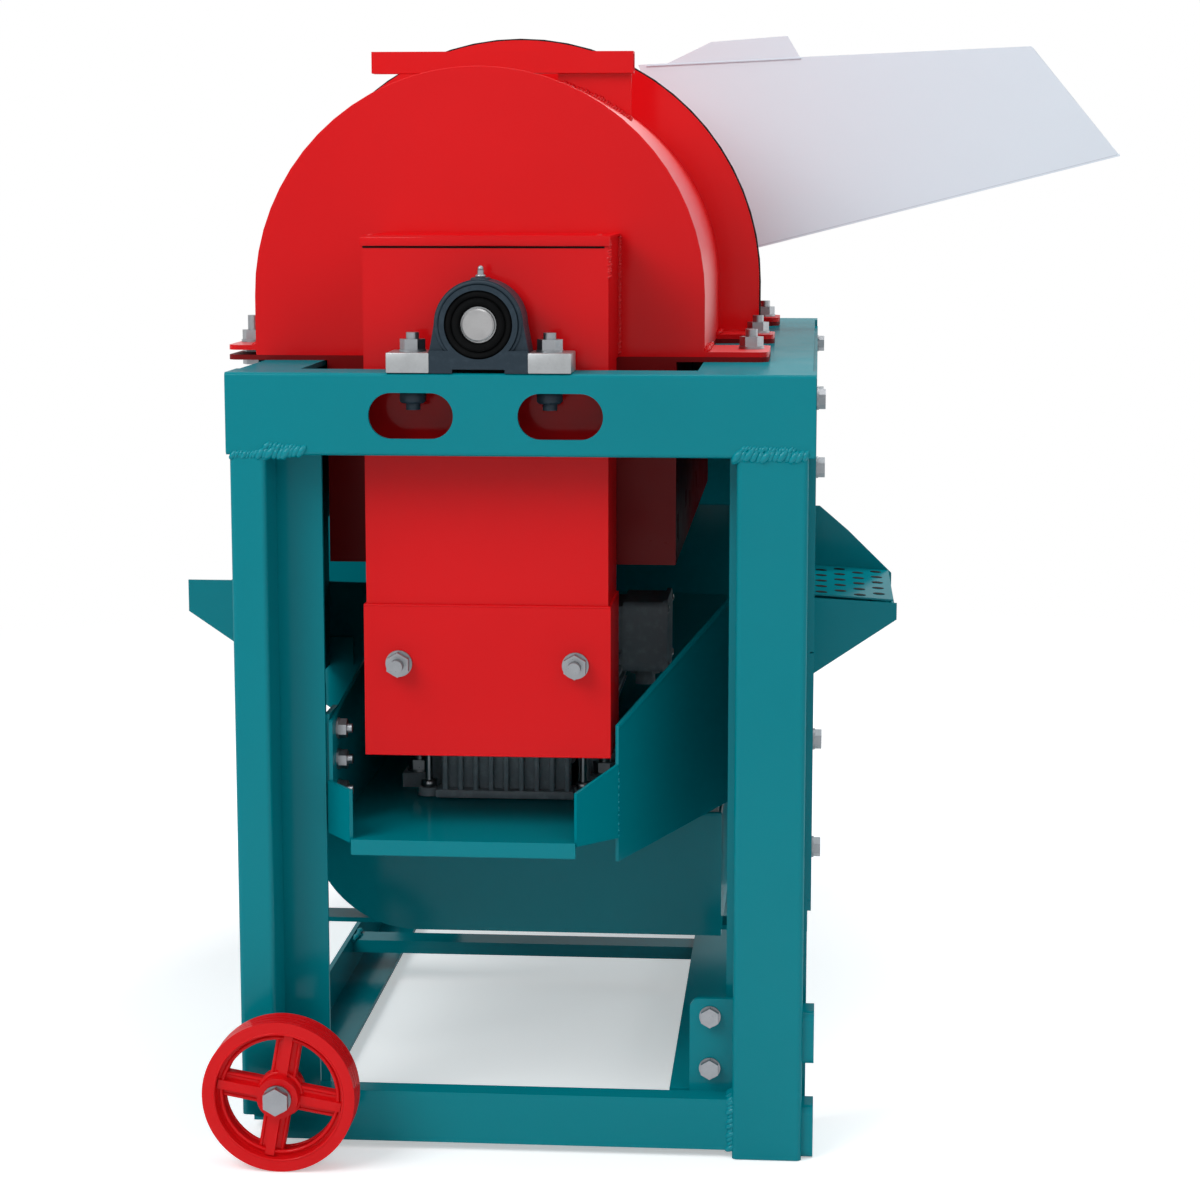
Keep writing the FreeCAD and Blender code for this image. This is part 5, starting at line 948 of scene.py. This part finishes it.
# Lamps: name, place, setting, share of it and width in metres
LAMP_AIM = (-20, 400, 450)
LAMPS = (
    ("Key softbox", (-1500, -1500, 2300), "key", 1.0, 1.7),
    ("Fill softbox", (1500, -1900, 2100), "fill", 1.0, 1.6),
    ("Top strip", (250, 300, 2300), "strip", 0.7, 1.2),
    ("Side card", (1700, 1300, 1100), "strip", 0.6, 1.8),
    ("Rear strip", (760, 2400, 2250), "strip", 2.0, 0.8),
    ("Low front", (100, -2600, 500), "fill", 0.12, 1.4),
)
# Floor in metres: width, height and where it fades to white, and the strength of its own glow
FLOOR_WIDTH = 24.0
FLOOR_Z = -0.0005
FLOOR_FADE = (0.9, 2.4)
FLOOR_LIFT = 0.42


class Studio(StepOperator):
    """Camera, lights and floor"""
    bl_idname = "thresher.studio"
    bl_label = "Studio"

    def build(self):
        """Set the photograph's view and a soft studio."""
        s = settings("studio")
        scene = bpy.context.scene
        fresh()
        bpy.ops.object.camera_add(location=P(*CAMERA_PLACE), rotation=CAMERA_TURN)
        camera = bpy.context.active_object
        camera.data.lens = s.lens
        camera.data.sensor_width = 36.0
        camera.data.clip_end = 50.0
        scene.camera = camera
        for name, place, source, share, size in LAMPS:
            self.light(name, place, getattr(s, source) * share, size)
        self.floor()
        self.world(scene, s.world)
        scene.view_settings.view_transform = "Standard"
        scene.view_settings.look = "None"

    def light(self, name, place, power, size):
        """An area light aimed at the machine."""
        where = P(*place)
        turn = (where - P(*LAMP_AIM)).to_track_quat("Z", "Y").to_euler()
        bpy.ops.object.light_add(type="AREA", location=where, rotation=turn)
        lamp = bpy.context.active_object
        lamp.name = name
        lamp.data.energy = power
        lamp.data.shape = "SQUARE"
        lamp.data.size = size

    def floor(self):
        """A wide pale floor that keeps the soft shadow."""
        bpy.ops.mesh.primitive_plane_add(size=FLOOR_WIDTH, location=(0.0, 0.0, FLOOR_Z))
        floor = bpy.context.active_object
        settle()
        floor.name = "studio_floor"
        material, tree, shader, coords = blank_material("White studio floor")
        shader.inputs["Base Color"].default_value = linear("#F4F4F4")
        shader.inputs["Roughness"].default_value = 1.0
        shader.inputs["Specular IOR Level"].default_value = 0.0
        direct = seen_directly(tree)
        lift = add_node(tree, "ShaderNodeMath", {0: direct}, "MULTIPLY")
        lift.inputs[1].default_value = FLOOR_LIFT
        shader.inputs["Emission Color"].default_value = (1.0, 1.0, 1.0, 1.0)
        tree.links.new(lift.outputs[0], shader.inputs["Emission Strength"])
        reach = add_node(tree, "ShaderNodeVectorMath", {0: coords}, "LENGTH")
        far = ramp(tree, reach.outputs["Value"], *FLOOR_FADE, 0.0, 1.0)
        seen = add_node(tree, "ShaderNodeMath", {0: far, 1: direct}, "MULTIPLY")
        white = tree.nodes.new("ShaderNodeEmission")
        white.inputs["Strength"].default_value = 1.0
        mix = add_node(tree, "ShaderNodeMixShader",
                       {0: seen.outputs[0], 1: shader.outputs[0], 2: white.outputs[0]})
        tree.links.new(mix.outputs[0], tree.nodes["Material Output"].inputs["Surface"])
        floor.data.materials.append(material)

    def world(self, scene, strength):
        """White to the camera and in reflections, a paler room for the light."""
        world = bpy.data.worlds.new("Studio room")
        scene.world = world
        world.use_nodes = True
        tree = world.node_tree
        room = tree.nodes["Background"]
        room.inputs["Color"].default_value = linear("#E9EDF2")
        room.inputs["Strength"].default_value = strength
        white = tree.nodes.new("ShaderNodeBackground")
        white.inputs["Color"].default_value = (1.0, 1.0, 1.0, 1.0)
        white.inputs["Strength"].default_value = 1.0
        mix = add_node(tree, "ShaderNodeMixShader",
                       {0: seen_directly(tree), 1: room.outputs[0], 2: white.outputs[0]})
        tree.links.new(mix.outputs[0], tree.nodes["World Output"].inputs["Surface"])


STEPS = (FinishNodes, FrameWelds, HoodTrims, BearingTrims, GuardTrims, WheelTrims, MotorTrims,
         TrayTrims, PanTrims, HopperTrims, Studio)
GROUPS = (("finish", FinishSettings), ("weld", WeldSettings), ("trim", TrimSettings),
          ("studio", StudioSettings))


class ThresherPanel(bpy.types.Panel):
    """Steps and settings of the thresher"""
    bl_idname = "VIEW3D_PT_thresher"
    bl_label = "Corn Thresher"
    bl_space_type = "VIEW_3D"
    bl_region_type = "UI"
    bl_category = "Thresher"

    def draw(self, context):
        """Show one button per step and all settings."""
        for step in STEPS:
            self.layout.operator(step.bl_idname)
        for name, group in GROUPS:
            data = getattr(context.scene, "thresher_" + name)
            for prop in group.__annotations__:
                self.layout.prop(data, prop)


def register():
    """Register all classes and settings."""
    for name, group in GROUPS:
        bpy.utils.register_class(group)
        setattr(bpy.types.Scene, "thresher_" + name, bpy.props.PointerProperty(type=group))
    for step in STEPS:
        bpy.utils.register_class(step)
    bpy.utils.register_class(ThresherPanel)


def unregister():
    """Undo register."""
    bpy.utils.unregister_class(ThresherPanel)
    for step in reversed(STEPS):
        bpy.utils.unregister_class(step)
    for name, group in reversed(GROUPS):
        delattr(bpy.types.Scene, "thresher_" + name)
        bpy.utils.unregister_class(group)


def main():
    """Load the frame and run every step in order."""
    FRAME.update(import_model())
    register()
    for step in STEPS:
        group, name = step.bl_idname.split(".")
        result = getattr(getattr(bpy.ops, group), name)()
        if result != {"FINISHED"}:
            raise RuntimeError("step failed: " + step.bl_idname)
    fresh()


if __name__ == "__main__":
    main()
